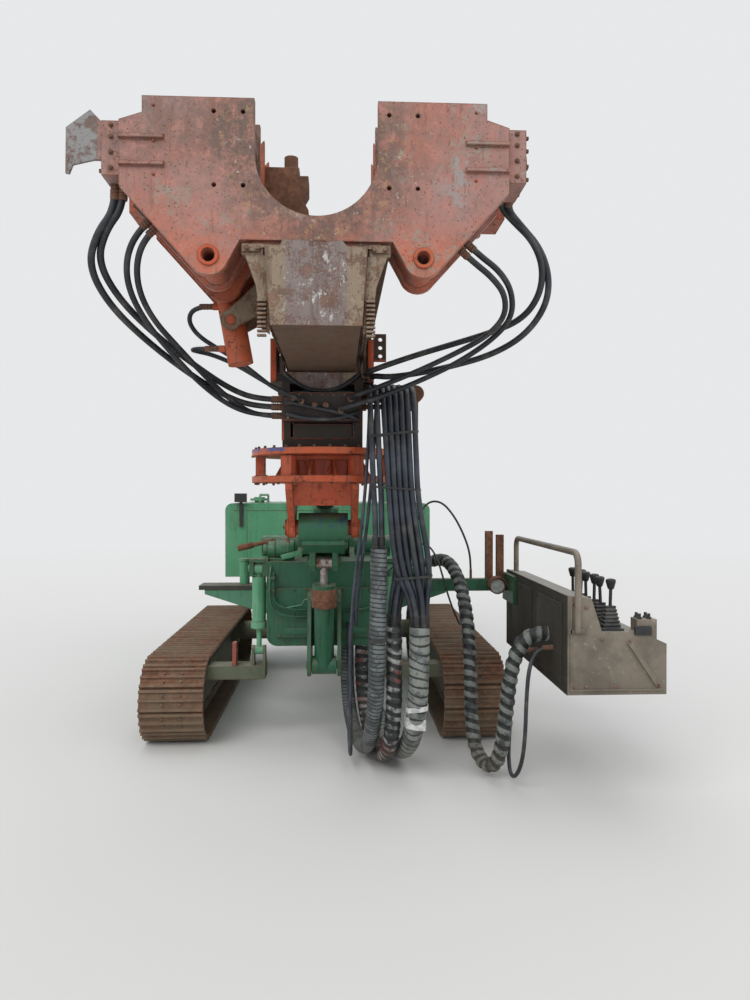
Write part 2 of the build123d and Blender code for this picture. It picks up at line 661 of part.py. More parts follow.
def mast_rails():
    """Guide wings along the top edges, their gussets and the break-out bracket."""
    high = MAST_Z[1]
    rails = Part()
    for side in (-1, 1):
        wing = polygon([(side * (MAST_TOP_X - 60), high), (side * MAST_TOP_X, high), (side * RAIL_X, high - 20),
                        (side * RAIL_X, high + 10), (side * (MAST_TOP_X - 60), high + 10)])
        rails += along_y(wing, MAST_Y[0] + 20, MAST_Y[1] - 20)
    x, z = TRUNNION[0], DRILL_Z + TRUNNION[1]
    middle = sum(BREAK_Y) / 2
    inner = -CHAIN_X - CHAIN_W / 2 - 2 * CLEAR
    fork = polygon([(inner, high - 16), (-RAIL_X, high - 21), (x - 20, z + 38), (x, z - 46), (inner, z + 40)])
    fork += Pos(x, z) * Circle(46)
    for y in (middle - 95 - FIT, middle + 75 + FIT):
        rails += along_y(fork, y, y + 20) - disc_y((x, z), 22 + FIT, y - 1, y + 21)
    return rails


def chain(side):
    """Feed chain of one side, round its two sprockets."""
    span = CHAIN_Y[1] - CHAIN_Y[0]
    middle = (CHAIN_Y[0] + CHAIN_Y[1]) / 2
    x = side * CHAIN_X
    outer = along_x(Pos(middle, CHAIN_Z) * SlotCenterToCenter(span, 2 * CHAIN_R), x - CHAIN_W / 2, x + CHAIN_W / 2)
    inner = along_x(Pos(middle, CHAIN_Z) * SlotCenterToCenter(span, 2 * (CHAIN_R - 16)), x - CHAIN_W, x + CHAIN_W)
    return outer - inner


# Clamps

# X, Z from the drill axis: right half of the clamp's plate, from the top inwards and round
CLAMP_OUTLINE = (
    (0.0, 215.0),
    (685.0, 215.0),
    (685.0, 150.0),
    (775.0, 120.0),
    (775.0, -142.0),
    (491.0, -456.0),
    (353.0, -434.0),
    (304.0, -345.0),
)
BREAK_RIGHT = (
    (0.0, 215.0),
    (685.0, 215.0),
    (685.0, 150.0),
    (775.0, 120.0),
    (775.0, -100.0),
    (520.0, -200.0),
    (300.0, -170.0),
)


def clamp_face(right, bottom_r):
    """Plate outline round the drill axis; the left half always has its lobe."""
    left = [(-x, z) for x, z in reversed(CLAMP_OUTLINE)]
    face = polygon(list(right) + left)
    face += Pos(-LOBE[0], LOBE[1]) * Circle(LOBE_R)
    if bottom_r is None:
        face += Pos(*LOBE) * Circle(LOBE_R)
    else:
        face += Circle(bottom_r)
    face -= Circle(THROAT_R) + Pos(0, 300) * Rectangle(2 * THROAT_R, 600)
    return face


def clamp_box(face, y):
    """Front and back plates with a narrower web between them, bored for the jaws."""
    front, back = y
    web = offset(face, -22)
    body = along_y(face, front, front + PLATE_T) + along_y(face, back - PLATE_T, back)
    body += along_y(web, front + PLATE_T, back - PLATE_T)
    middle = (front + back) / 2
    for side in (-1, 1):
        x0, x1 = sorted((side * (THROAT_R - 40), side * 700))
        body -= block((x0, x1), (middle - JAW_W / 2 - FIT, middle + JAW_W / 2 + FIT),
                      (JAW_Z[0] - FIT, JAW_Z[1] + FIT))
    return body


def lobe_holes(y, sides):
    """Through holes in the lobes."""
    holes = Part()
    for side in sides:
        holes += disc_y((side * LOBE[0], LOBE[1]), LOBE_HOLE_R, y[0] - 5, y[1] + 5)
    return holes


def clamp_frame():
    """Front clamp, fixed on the mast's nose."""
    body = clamp_box(clamp_face(CLAMP_OUTLINE, None), CLAMP_Y) - lobe_holes(CLAMP_Y, (-1, 1))
    face = Circle(THROAT_R + 60) - Circle(THROAT_R + 12) - Pos(0, 300) * Rectangle(900, 600)
    body += along_y(face, CLAMP_Y[1], BREAK_Y[0] - FIT)
    seat = MAST_Z[1] + 10 - DRILL_Z
    body += block((-260, 260), (CLAMP_Y[0] + 20, CLAMP_Y[1] - 20), (seat, -340))
    front = CLAMP_Y[0]
    for side in (-1, 1):
        for z in (-RIB_Z, RIB_Z):
            x0, x1 = sorted((side * 600, side * 775))
            body += block((x0, x1), (front - 14, front), (z - 7, z + 7))
        for x, z in PLATE_HOLES:
            body -= disc_y((side * x, z), PLATE_HOLE_R, front - 1, front + PLATE_T)
    return Pos(0, 0, DRILL_Z) * body


def clamp_caps(y):
    """Cylinder head blocks on both ends of a clamp."""
    caps = Part()
    for side in (-1, 1):
        x0, x1 = sorted((side * 775, side * 850))
        caps += block((x0, x1), (y[0] + 25, y[1] - 25), (-90, 125))
        x0, x1 = sorted((side * 845, side * 862))
        caps += disc_x(((y[0] + y[1]) / 2, 10), 62, x0, x1)
    return Pos(0, 0, DRILL_Z) * caps


def bent_plate():
    """Slanted guard plate that stands out from the left end of the front clamp."""
    y = CLAMP_Y[0] + 28
    outline = polygon([(-850, 122), (-893, 168), (-988, 96), (-990, -84), (-976, -86), (-962, -50), (-880, -30),
                       (-850, -30)])
    return Pos(0, 0, DRILL_Z) * along_y(outline, y, y + 12)


def jaw(side, y, reach):
    """Jaw block with a toothed, hollowed face; reach is how far it is pushed in."""
    middle = (y[0] + y[1]) / 2
    tip = THROAT_R + 5 - reach
    body = block((tip, tip + JAW_L), (middle - JAW_W / 2, middle + JAW_W / 2), JAW_Z)
    body -= along_y(polygon([(tip - 1, -50), (tip + 28, 0), (tip - 1, 50)]), middle - JAW_W, middle + JAW_W)
    body -= block((tip - 1, tip + 42), (middle - JAW_W, middle + JAW_W), (JAW_Z[1] - 38, JAW_Z[1] + 1))
    if reach:
        body += disc_z((tip + JAW_LUG_X, middle), JAW_LUG_R, JAW_Z[1] - 5, JAW_Z[1] + 68)
    body = Pos(0, 0, DRILL_Z) * body
    return body if side > 0 else mirror(body, about=Plane.YZ)


def breakout_frame():
    """Rear clamp that turns about the drill axis, with a slot in its lobe for the rod's eye."""
    face = clamp_face(BREAK_RIGHT, THROAT_R + 95)
    body = clamp_box(face, BREAK_Y) - lobe_holes(BREAK_Y, (-1,))
    middle = sum(BREAK_Y) / 2
    x, z = -LOBE[0], LOBE[1]
    half = BREAK_R + CLEAR
    body -= block((x - 110, x + 110), (middle - half, middle + half), (z - 100, z + 75))
    lug_end = THROAT_R + 5 + JAW_LUG_X + JAW_LUG_R + CLEAR
    lug_half = JAW_LUG_R + CLEAR
    body -= block((-lug_end, 0), (middle - lug_half, middle + lug_half), (JAW_Z[1] - 1, 216))
    for y in (middle - half, middle + 43):
        body += disc_y((x, z), 34, y, y + half - 43)
    body -= disc_y((x, z), LOBE_HOLE_R, BREAK_Y[0] - 5, BREAK_Y[1] + 5)
    return Pos(0, 0, DRILL_Z) * body


def breakout_plane():
    """Plane at the trunnion whose Z axis points at the lobe's hole."""
    x0, z0 = TRUNNION
    x1, z1 = -LOBE[0], LOBE[1]
    return Plane(origin=(x0, sum(BREAK_Y) / 2, DRILL_Z + z0), x_dir=(0, 1, 0), z_dir=(x1 - x0, 0, z1 - z0))


def breakout_barrel():
    """Cylinder tube on its trunnion pins, with two hose ports."""
    low, high = BREAK_BARREL
    tube = Pos(0, 0, low) * extrude(Circle(BREAK_R), high - low)
    tube += Plane.YZ.offset(-98) * extrude(Circle(22), 196)
    middle = sum(BREAK_Y) / 2
    ports = Part()
    for x0, z in BREAK_PORTS:
        ports += disc_x((middle, DRILL_Z + z), PORT_R, x0, x0 + 75)
    barrel = breakout_plane() * tube + ports
    return barrel - breakout_plane() * Pos(0, 0, low + 20) * extrude(Circle(BREAK_ROD_R + FIT), high - low)


def breakout_rod():
    """Rod with its eye in the lobe's slot."""
    length = hypot(-LOBE[0] - TRUNNION[0], LOBE[1] - TRUNNION[1])
    rod = Pos(0, 0, BREAK_BARREL[0] + 25) * extrude(Circle(BREAK_ROD_R), length - BREAK_BARREL[0] - 25)
    rod += Pos(0, 0, length) * (Plane.XZ.offset(-40) * extrude(Circle(36), 80))
    return breakout_plane() * rod


# Drill head


def carriage():
    """Sledge on the rails that carries the rotary head."""
    y = (HEAD_Y - CARRIAGE_L / 2, HEAD_Y + CARRIAGE_L / 2)
    top = MAST_Z[1] + 10
    body = block((-RAIL_X - 40, RAIL_X + 40), y, (top + FIT, top + 60))
    for side in (-1, 1):
        for end in (y[0], y[1] - 220):
            x0, x1 = sorted((side * (RAIL_X + 8), side * (RAIL_X + 40)))
            body += block((x0, x1), (end, end + 220), (top - 75, top + 30))
            x0, x1 = sorted((side * (RAIL_X - 40), side * (RAIL_X + 40)))
            body += block((x0, x1), (end, end + 220), (top - 75, top - 50))
    return body


def rotary_head():
    """Gearbox with two hydraulic motors, bored for its spindle."""
    y = HEAD_Y
    base = MAST_Z[1] + 70
    face = fillet(polygon([(-240, base), (240, base), (240, DRILL_Z + 120), (150, DRILL_Z + 230),
                           (-150, DRILL_Z + 230), (-240, DRILL_Z + 120)]).vertices(), 30)
    body = along_y(face, y - 280, y + 220)
    body += disc_y((0, DRILL_Z), 150, y - 330, y - 280)
    for x in (-125, 125):
        body += disc_y((x, DRILL_Z + 60), 90, y + 220, y + 430)
    return body - disc_y((0, DRILL_Z), SPINDLE_R + FIT, y - 340, y + 60)


def spindle():
    """Drive spindle with a flange and a bored, threaded nose."""
    y = HEAD_Y
    body = disc_y((0, DRILL_Z), SPINDLE_R, y - 520, y + 50) + disc_y((0, DRILL_Z), 110, y - 400, y - 350)
    return body - disc_y((0, DRILL_Z), 40, y - 521, y - 420)


# Console


def console_box():
    """Stepped box of the driving stand; the low shelf on the outer side holds the levers."""
    x0, x1 = CONSOLE_X
    z0, z1 = CONSOLE_Z
    shelf = CONSOLE_SHELF_Z
    face = polygon([(x0, z0), (x1, z0), (x1, shelf - 60), (x1 - 130, shelf), (x0 + 180, shelf), (x0 + 125, z1 - 15),
                    (x0, z1)])
    front = CONSOLE_Y[0]
    body = along_y(face, *CONSOLE_Y)
    body += block((x1 - 150, x1 - 48), (front + 6, front + 90), (shelf - 45, shelf + 62))
    bar = polygon([(x0 + 305, shelf - 52), (x0 + 325, shelf - 38), (x0 + 475, shelf - 262), (x0 + 455, shelf - 276)])
    return body + along_y(bar, front - 14, front)


def console_arm():
    """Swinging arm from the hull to the console."""
    px, py = ARM_PIVOT
    arm = disc_z(ARM_PIVOT, 70, 950, 1080)
    arm += block((px, CONSOLE_X[0]), (py - 90, py - 20), (960, 1040))
    return arm + block((CONSOLE_X[0] - 25, CONSOLE_X[0]), (py - 320, py - 20), (900, 1080)) \
        - disc_z(ARM_PIVOT, 35 + FIT, 940, 1090)


def arm_base():
    """Fork on the hull that carries the console's arm."""
    px, py = ARM_PIVOT
    base = disc_z(ARM_PIVOT, 35, 920, 1110)
    for z in ((920, 950 - FIT), (1080 + FIT, 1110)):
        base += block((HULL_X, px), (py - 60, py + 60), z) + disc_z(ARM_PIVOT, 65, *z)
    return base


def console_lamp():
    """Two posts on the arm and the round work lamp in front of it."""
    py = ARM_PIVOT[1]
    parts = []
    for x, top in ((1078, 1360), (1152, 1335)):
        parts.append(block((x, x + POST_W), (py - 80, py - 40), (1040, top)))
    shell = disc_y((LAMP_X, LAMP_Z), LAMP_R, py - 165, py - 90)
    visor = disc_y((LAMP_X, LAMP_Z), LAMP_R + 8, py - 200, py - 105)
    visor -= disc_y((LAMP_X, LAMP_Z), LAMP_R + 2, py - 201, py - 90)
    visor -= block((LAMP_X - 90, LAMP_X + 90), (py - 201, py - 90), (LAMP_Z - 90, LAMP_Z))
    lamp = shell - disc_y((LAMP_X, LAMP_Z), LAMP_R - 8, py - 166, py - 150)
    rim = block((LAMP_X - 10, LAMP_X + 10), (py - 120, py - 105), (LAMP_Z + LAMP_R - 4, LAMP_Z + LAMP_R + 6))
    parts.append(lamp + visor + rim)
    return parts


def console_levers():
    """Row of levers, each on a square rubber boot that stands on the shelf."""
    levers = []
    x = CONSOLE_X[0] + 250
    z = CONSOLE_SHELF_Z
    for n in range(LEVERS):
        y = CONSOLE_Y[0] + 90 + n * LEVER_PITCH
        boot = loft([Plane.XY.offset(z) * Pos(x, y) * Rectangle(120, 105),
                     Plane.XY.offset(z + 130) * Pos(x, y) * Rectangle(70, 50)])
        stick = disc_z((x, y), 9, z + 120, z + 210)
        knob = Pos(x, y, z + 235) * Cone(16, 26, 50)
        levers.append(boot + stick + knob)
    return levers


def handrail():
    """Bent tube along the console, from a foot on its front end to one on its top."""
    x = CONSOLE_X[0] + 50
    y0 = CONSOLE_Y[0] - 20
    y1 = CONSOLE_Y[1] - 70
    foot = CONSOLE_Z[0] + 320
    top = CONSOLE_Z[1] + 215
    path = FilletPolyline((x, y0, foot), (x, y0, top), (x, y1, top), (x, y1, CONSOLE_Z[1] - 8), radius=60)
    tube = sweep(Plane(origin=(x, y0, foot), z_dir=(0, 0, 1)) * Circle(17), path=path)
    tube += block((x - 45, x + 45), (CONSOLE_Y[0] - 6, CONSOLE_Y[0]), (foot - 12, foot + 12))
    return tube + disc_y((x, foot), 12, y0, CONSOLE_Y[0]) - console_box()


# Hose routes

# name, diameter and the (X, Y, Z) points of each route, in the machine's frame
HOSES = {
    "hoses_left": (
        (30.0, ((-825, -2955, DRILL_Z - 90), (-825, -2955, DRILL_Z - 187), (-905, -2940, 2680), (-955, -2890, 2560),
                (-905, -2780, 2430), (-790, -2620, 2310), (-640, -2400, 2195), (-480, -2170, 2105),
                (-340, -2045, 2075), (-210, -2045, 2075))),
        (30.0, ((-792, -2955, DRILL_Z - 90), (-792, -2955, DRILL_Z - 177), (-870, -2935, 2695), (-918, -2885, 2585),
                (-870, -2785, 2465), (-765, -2635, 2350), (-620, -2420, 2240), (-470, -2170, 2150),
                (-340, -2045, 2115), (-210, -2045, 2115))),
        (26.0, ((-674, -2955, DRILL_Z - 221), (-734.8, -2955, DRILL_Z - 276), (-790, -2925, 2590), (-800, -2865, 2480),
                (-760, -2765, 2370), (-685, -2620, 2265), (-590, -2400, 2150), (-470, -2165, 2060),
                (-340, -2045, 2030), (-210, -2045, 2030))),
        (26.0, ((-648, -2955, DRILL_Z - 249.7), (-705.4, -2955, DRILL_Z - 301.6), (-752, -2915, 2570), (-758, -2850, 2465),
                (-718, -2750, 2365), (-640, -2605, 2275), (-545, -2360, 2165), (-440, -2125, 2070),
                (-330, -2005, 2030), (-210, -2005, 2030))),
        (22.0, ((-495, -2555, DRILL_Z - 482), (-575, -2555, DRILL_Z - 482), (-620, -2520, 2430), (-590, -2450, 2370),
                (-500, -2370, 2320), (-405, -2310, 2270), (-325, -2275, 2210), (-245, -2245, 2150),
                (-150, -2180, 2112), (-150, -2085, 2112))),
        (22.0, ((-470, -2555, DRILL_Z - 677), (-550, -2555, DRILL_Z - 677), (-605, -2500, 2290), (-600, -2415, 2300),
                (-530, -2350, 2295), (-420, -2290, 2255), (-315, -2265, 2195), (-210, -2235, 2135),
                (-105, -2180, 2095), (-105, -2085, 2095))),
    ),
    "hoses_right": (
        (30.0, ((800, -2855, DRILL_Z - 62), (800, -2755, DRILL_Z - 62), (880, -2705, 2845), (970, -2705, 2760),
                (1020, -2695, 2645), (1015, -2655, 2525), (950, -2590, 2430), (820, -2500, 2385),
                (640, -2370, 2350), (480, -2280, 2315), (330, -2200, 2275), (228, -2110, 2250),
                (228, -2000, 2250))),
        (30.0, ((835, -2855, DRILL_Z - 72), (835, -2750, DRILL_Z - 72), (918, -2700, 2825), (1005, -2695, 2730),
                (1055, -2675, 2605), (1050, -2635, 2480), (970, -2560, 2360), (830, -2460, 2285),
                (640, -2350, 2245), (480, -2270, 2222), (345, -2195, 2215), (262, -2105, 2238),
                (262, -2000, 2238))),
        (26.0, ((584, -2955, DRILL_Z - 320.5), (649.3, -2955, DRILL_Z - 379.4), (740, -2905, 2535), (815, -2830, 2480),
                (835, -2740, 2405), (775, -2630, 2340), (650, -2500, 2285), (510, -2395, 2230),
                (370, -2310, 2180), (245, -2245, 2138), (150, -2190, 2112), (150, -2085, 2112))),
        (26.0, ((610, -2955, DRILL_Z - 291.7), (680.5, -2955, DRILL_Z - 355.3), (775, -2895, 2565), (850, -2810, 2500),
                (875, -2705, 2410), (810, -2590, 2335), (680, -2460, 2255), (530, -2360, 2190),
                (380, -2300, 2132), (230, -2262, 2082), (100, -2190, 2052), (100, -2085, 2052))),
    ),
    "hose_bundle": (
        (30.0, ((250, -1950, 2188), (250, -2075, 2188), (252, -2165, 2093), (262, -2165, 1830),
                (274, -2150, 1590), (283, -2120, 1450), (283, -2120, 1320))),
        (30.0, ((285, -1950, 2188), (285, -2075, 2188), (287, -2165, 2093), (298, -2168, 1830),
                (312, -2152, 1590), (317, -2120, 1450), (317, -2120, 1320))),
        (30.0, ((320, -1950, 2188), (320, -2075, 2188), (322, -2165, 2093), (338, -2170, 1830),
                (352, -2175, 1570), (384, -2150, 1220), (481, -2110, 1020), (481, -2110, 905))),
        (30.0, ((352, -1950, 2188), (352, -2075, 2188), (354, -2165, 2093), (368, -2172, 1830),
                (382, -2178, 1570), (416, -2155, 1220), (499, -2141, 1020), (499, -2141, 905))),
        (30.0, ((384, -1950, 2188), (384, -2075, 2188), (386, -2165, 2093), (398, -2168, 1830),
                (412, -2174, 1570), (452, -2148, 1220), (517, -2110, 1020), (517, -2110, 905))),
        (30.0, ((416, -1950, 2188), (416, -2075, 2188), (417, -2165, 2093), (428, -2172, 1830),
                (442, -2180, 1570), (492, -2156, 1220), (535, -2141, 1020), (535, -2141, 905))),
        (30.0, ((448, -1950, 2188), (448, -2075, 2188), (449, -2165, 2093), (458, -2168, 1830),
                (472, -2174, 1570), (533, -2150, 1220), (535, -2079, 1020), (535, -2079, 905))),
        (30.0, ((480, -1950, 2188), (480, -2075, 2188), (482, -2165, 2093), (492, -2170, 1830),
                (502, -2176, 1570), (574, -2145, 1220), (553, -2110, 1020), (553, -2110, 905))),
        (30.0, ((336, -1950, 2148), (336, -2045, 2148), (338, -2130, 2060), (352, -2138, 1830),
                (367, -2143, 1570), (400, -2108, 1220), (364, -2047, 1020), (364, -2047, 905))),
        (30.0, ((368, -1950, 2148), (368, -2045, 2148), (370, -2130, 2060), (382, -2136, 1830),
                (397, -2143, 1570), (436, -2106, 1220), (386, -2085, 1020), (386, -2085, 905))),
        (30.0, ((400, -1950, 2148), (400, -2045, 2148), (402, -2130, 2060), (412, -2138, 1830),
                (427, -2143, 1570), (474, -2106, 1220), (408, -2047, 1020), (408, -2047, 905))),
        (30.0, ((432, -1950, 2148), (432, -2045, 2148), (434, -2130, 2060), (443, -2136, 1830),
                (457, -2143, 1570), (514, -2104, 1220), (499, -2079, 1020), (499, -2079, 905))),
        (18.0, ((255, -1950, 2148), (255, -2040, 2148), (252, -2105, 2075), (244, -2122, 1880),
                (230, -2112, 1640), (208, -2090, 1410), (180, -2055, 1190), (160, -2000, 970),
                (153, -1945, 730), (155, -1895, 490), (158, -1840, 270), (160, -1760, 110),
                (155, -1640, 60), (150, -1520, 120), (148, -1430, 270), (147, -1375, 440),
                (148, -1340, 590), (149, -1325, 690), (150, -1285, 765), (150, -1205, 765))),
        (18.0, ((290, -1950, 2148), (290, -2040, 2148), (287, -2102, 2075), (276, -2120, 1880),
                (258, -2106, 1640), (238, -2080, 1420), (208, -2045, 1220), (192, -1985, 1050),
                (188, -1880, 920), (190, -1740, 850), (192, -1580, 825), (190, -1430, 840),
                (188, -1310, 880), (188, -1205, 880))),
    ),
    "hose_wraps": (
        (90.0, ((300, -2120, 1320), (300, -2120, 1100), (291, -2125, 850), (290, -2085, 590),
                (282, -1985, 375), (266, -1830, 205), (242, -1640, 105), (212, -1440, 78),
                (180, -1260, 115), (158, -1120, 215), (147, -1070, 345), (145, -1060, 480),
                (145, -1060, 620))),
        (110.0, ((517, -2110, 905), (517, -2110, 700), (511, -2085, 485), (498, -1990, 300),
                 (475, -1830, 160), (440, -1640, 90), (400, -1440, 80), (365, -1240, 110),
                 (325, -1085, 195), (280, -965, 315), (255, -905, 465), (255, -905, 620))),
        (90.0, ((386, -2060, 905), (386, -2060, 710), (389, -2045, 500), (382, -1975, 300),
                (368, -1850, 150), (345, -1680, 65), (315, -1480, 55), (285, -1290, 95),
                (258, -1150, 195), (245, -1090, 330), (240, -1075, 470), (240, -1075, 620))),
    ),
    "console_hoses": (
        (85.0, ((380, -860, 1040), (500, -860, 1040), (625, -865, 1090), (745, -900, 1150),
                (805, -1060, 1170), (845, -1215, 1120), (870, -1370, 1000), (880, -1510, 830),
                (880, -1600, 630), (874, -1650, 420), (874, -1690, 230), (892, -1750, 100),
                (930, -1850, 60), (968, -1940, 100), (992, -1990, 230), (1005, -2015, 410),
                (1020, -2030, 590), (1050, -2040, 740), (1120, -2045, 850), (1230, -2045, 850))),
        (22.0, ((1230, -2150, 795), (1150, -2150, 795), (1098, -2152, 705), (1082, -2155, 520),
                (1080, -2145, 330), (1070, -2110, 160), (1050, -2040, 60), (1040, -1960, 55),
                (1045, -1900, 140), (1060, -1870, 300), (1075, -1858, 480), (1100, -1852, 640),
                (1155, -1850, 720), (1230, -1850, 720))),
    ),
    "console_cables": (
        (12.0, ((350, -1180, 1060), (350, -1255, 1060), (400, -1330, 1110), (480, -1370, 1210),
                (570, -1380, 1300), (660, -1370, 1290), (720, -1340, 1190), (760, -1310, 1060),
                (800, -1290, 930), (850, -1260, 810), (890, -1190, 740), (905, -1110, 770),
                (900, -1055, 865), (900, -1055, 960))),
        (14.0, ((620, -1000, 1110), (620, -1000, 1200), (605, -1010, 1330), (625, -1030, 1460),
                (690, -1050, 1560), (780, -1065, 1560), (860, -1070, 1470), (925, -1065, 1350),
                (970, -1055, 1230), (980, -1055, 1130), (980, -1055, 1040))),
    ),
}


def hose(diameter, points):
    """Round tube along straight runs joined by the largest arcs that fit between them."""
    knots = [Vector(*point) for point in points]
    runs = [after - before for before, after in zip(knots, knots[1:])]
    radii = []
    for first, second in zip(runs, runs[1:]):
        half_turn = radians(first.get_angle(second)) / 2
        radii.append(RUN_SHARE * min(first.length, second.length) / tan(half_turn))
    path = FilletPolyline(*knots, radius=radii)
    tube = sweep(Plane(origin=knots[0], z_dir=runs[0]) * Circle(diameter / 2), path=path)
    fill = tube.volume / (pi * diameter ** 2 / 4 * path.length)
    print(f"hose {diameter:.0f} mm, {path.length:.0f} mm long, tightest bend {min(radii):.0f} mm, fill {fill:.3f}")
    return tube


def assemble():
    """Every rigid node's solids, by name."""
    left = track()
    frame_left = track_frame()
    rear_jaw_reach = JAW_STROKE
    return {
        "track_left": left,
        "track_right": mirror(left, about=Plane.YZ),
        "track_frames": both_sides(frame_left),
        "idlers": both_sides(idler()),
        "sprockets": both_sides(sprocket()),
        "sway_cylinders": both_sides(sway_ram()),
        "axle_beam": axle_beam(),
        "chassis": chassis(),
        "boom_bracket": boom_bracket(),
        "hood": hood(),
        "hood_grille": hood_grille(),
        "hood_door_left": hood_door(),
        "hood_door_right": mirror(hood_door(), about=Plane.YZ),
        "engine": engine(),
        "stacks": stacks(),
        "decks": both_sides(decks()),
        "deck_fittings": deck_fittings(),
        "arm_base": arm_base(),
        "boom": boom(),
        "lift_barrel": ram_barrel(LIFT_BASE, LIFT_TOP, 0, LIFT_R, LIFT_BARREL_L, LIFT_ROD_R, 150, 55),
        "lift_rod": ram_rod(LIFT_BASE, LIFT_TOP, 0, LIFT_ROD_R, 150, 94, EYE_R),
        "tilt_barrel": ram_barrel(TILT_BASE, TILT_TOP, 0, TILT_R, TILT_BARREL_L, TILT_ROD_R, 2 * TILT_R, 48),
        "tilt_rod": ram_rod(TILT_BASE, TILT_TOP, 0, TILT_ROD_R, 80, 94, EYE_R),
        "yoke": yoke(),
        "slew_ring": slew_ring(),
        "cradle": cradle(),
        "hose_bracket": hose_bracket(),
        "mast": mast(),
        "mast_rails": mast_rails(),
        "feed_chains": [chain(-1), chain(1)],
        "clamp_frame": clamp_frame(),
        "clamp_caps": clamp_caps(CLAMP_Y) + bent_plate(),
        "front_jaw_left": jaw(-1, CLAMP_Y, 0),
        "front_jaw_right": jaw(1, CLAMP_Y, 0),
        "breakout_frame": breakout_frame(),
        "breakout_caps": clamp_caps(BREAK_Y),
        "rear_jaw_left": jaw(-1, BREAK_Y, rear_jaw_reach),
        "rear_jaw_right": jaw(1, BREAK_Y, 0),
        "breakout_barrel": breakout_barrel(),
        "breakout_rod": breakout_rod(),
        "carriage": carriage(),
        "rotary_head": rotary_head(),
        "spindle": spindle(),
        "console_box": console_box(),
        "console_arm": console_arm(),
        "console_lamp": console_lamp(),
        "console_levers": console_levers(),
        "handrail": handrail(),
    }


def solids_of(shape):
    """All solids of a shape or a list of shapes."""
    if isinstance(shape, (list, tuple)):
        return [solid for item in shape for solid in solids_of(item)]
    return list(shape.solids())


os.makedirs("parts", exist_ok=True)
nodes = {name: solids_of(shape) for name, shape in assemble().items()}
box = Compound(children=[solid for group in nodes.values() for solid in group]).bounding_box()
for name, routes in HOSES.items():
    nodes[name] = solids_of([hose(diameter, points) for diameter, points in routes])
origin = Pos(-(box.min.X + box.max.X) / 2, -(box.min.Y + box.max.Y) / 2, -box.min.Z)
for name, group in nodes.items():
    export_step(Compound(children=[origin * solid for solid in group]), f"parts/{name}.step")
print("machine centre in the file's frame:", origin.position)
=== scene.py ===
"""Crawler drilling rig with a folded mast, dressed on its CAD frame. Metres, +Z up."""
from math import cos, pi, radians, sin

import bmesh
import bpy
from mathutils import Matrix, Vector


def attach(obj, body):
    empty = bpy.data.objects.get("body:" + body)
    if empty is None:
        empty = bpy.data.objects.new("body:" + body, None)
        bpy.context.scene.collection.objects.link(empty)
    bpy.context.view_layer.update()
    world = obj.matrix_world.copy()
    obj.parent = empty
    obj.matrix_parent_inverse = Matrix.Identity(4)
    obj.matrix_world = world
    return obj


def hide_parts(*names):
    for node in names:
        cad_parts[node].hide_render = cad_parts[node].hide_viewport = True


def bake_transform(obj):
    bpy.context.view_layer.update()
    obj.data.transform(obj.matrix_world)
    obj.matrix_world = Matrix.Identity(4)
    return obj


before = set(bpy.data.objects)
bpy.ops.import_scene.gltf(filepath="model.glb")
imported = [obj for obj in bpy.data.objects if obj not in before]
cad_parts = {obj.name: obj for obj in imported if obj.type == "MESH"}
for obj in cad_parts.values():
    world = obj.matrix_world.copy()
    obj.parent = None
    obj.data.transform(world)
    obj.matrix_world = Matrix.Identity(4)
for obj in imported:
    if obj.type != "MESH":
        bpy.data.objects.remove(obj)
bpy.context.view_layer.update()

# The part's own numbers are in millimetres from the middle of its undercarriage.
MM = 0.001
ORIGIN = Vector((-0.290, -0.060, 0.0))

# Directions in which bolts, bars and plates face
FORWARD = (0, -1, 0)
BACK = (0, 1, 0)
UP = (0, 0, 1)
DOWN = (0, 0, -1)
SIDES = (-1, 1)

# Faces and axes that more than one piece is set on
DRILL_Z = 2962
RING_Y = -1680
CLAMP_FRONT = -3080
MANIFOLD_FRONT = -2085
HULL_FRONT = -1205
HOOD_TOP = 1530


def at(x, y, z):
    """Place in the file's frame of a point of the machine, in millimetres."""
    return Vector((x, y, z)) * MM + ORIGIN


# Shader expressions


class Value:
    """A socket that takes part in sums; every operator adds its own Math node."""

    def __init__(self, nodes, socket):
        self.nodes = nodes
        self.socket = socket

    def math(self, operation, other=0.0, clamp=False):
        return self.nodes.add("Math", {"operation": operation, "use_clamp": clamp}, self, other)

    def __add__(self, other):
        return self.math("ADD", other)

    __radd__ = __add__

    def __mul__(self, other):
        return self.math("MULTIPLY", other)

    __rmul__ = __mul__

    def __sub__(self, other):
        return self.math("SUBTRACT", other)

    def __rsub__(self, other):
        return self.nodes.add("Math", {"operation": "SUBTRACT"}, other, self)

    def power(self, exponent):
        return self.math("POWER", exponent)

    def clamped(self):
        return self.math("ADD", 0.0, clamp=True)

    def above(self, low, high):
        """0 below low, 1 above high, with a smooth step between."""
        return self.nodes.add("MapRange", {"interpolation_type": "SMOOTHSTEP"}, self, low, high, 0.0, 1.0)

    def below(self, low, high):
        return 1 - self.above(low, high)

    def maximum(self, other):
        return self.math("MAXIMUM", other)

    def absolute(self):
        return self.math("ABSOLUTE")


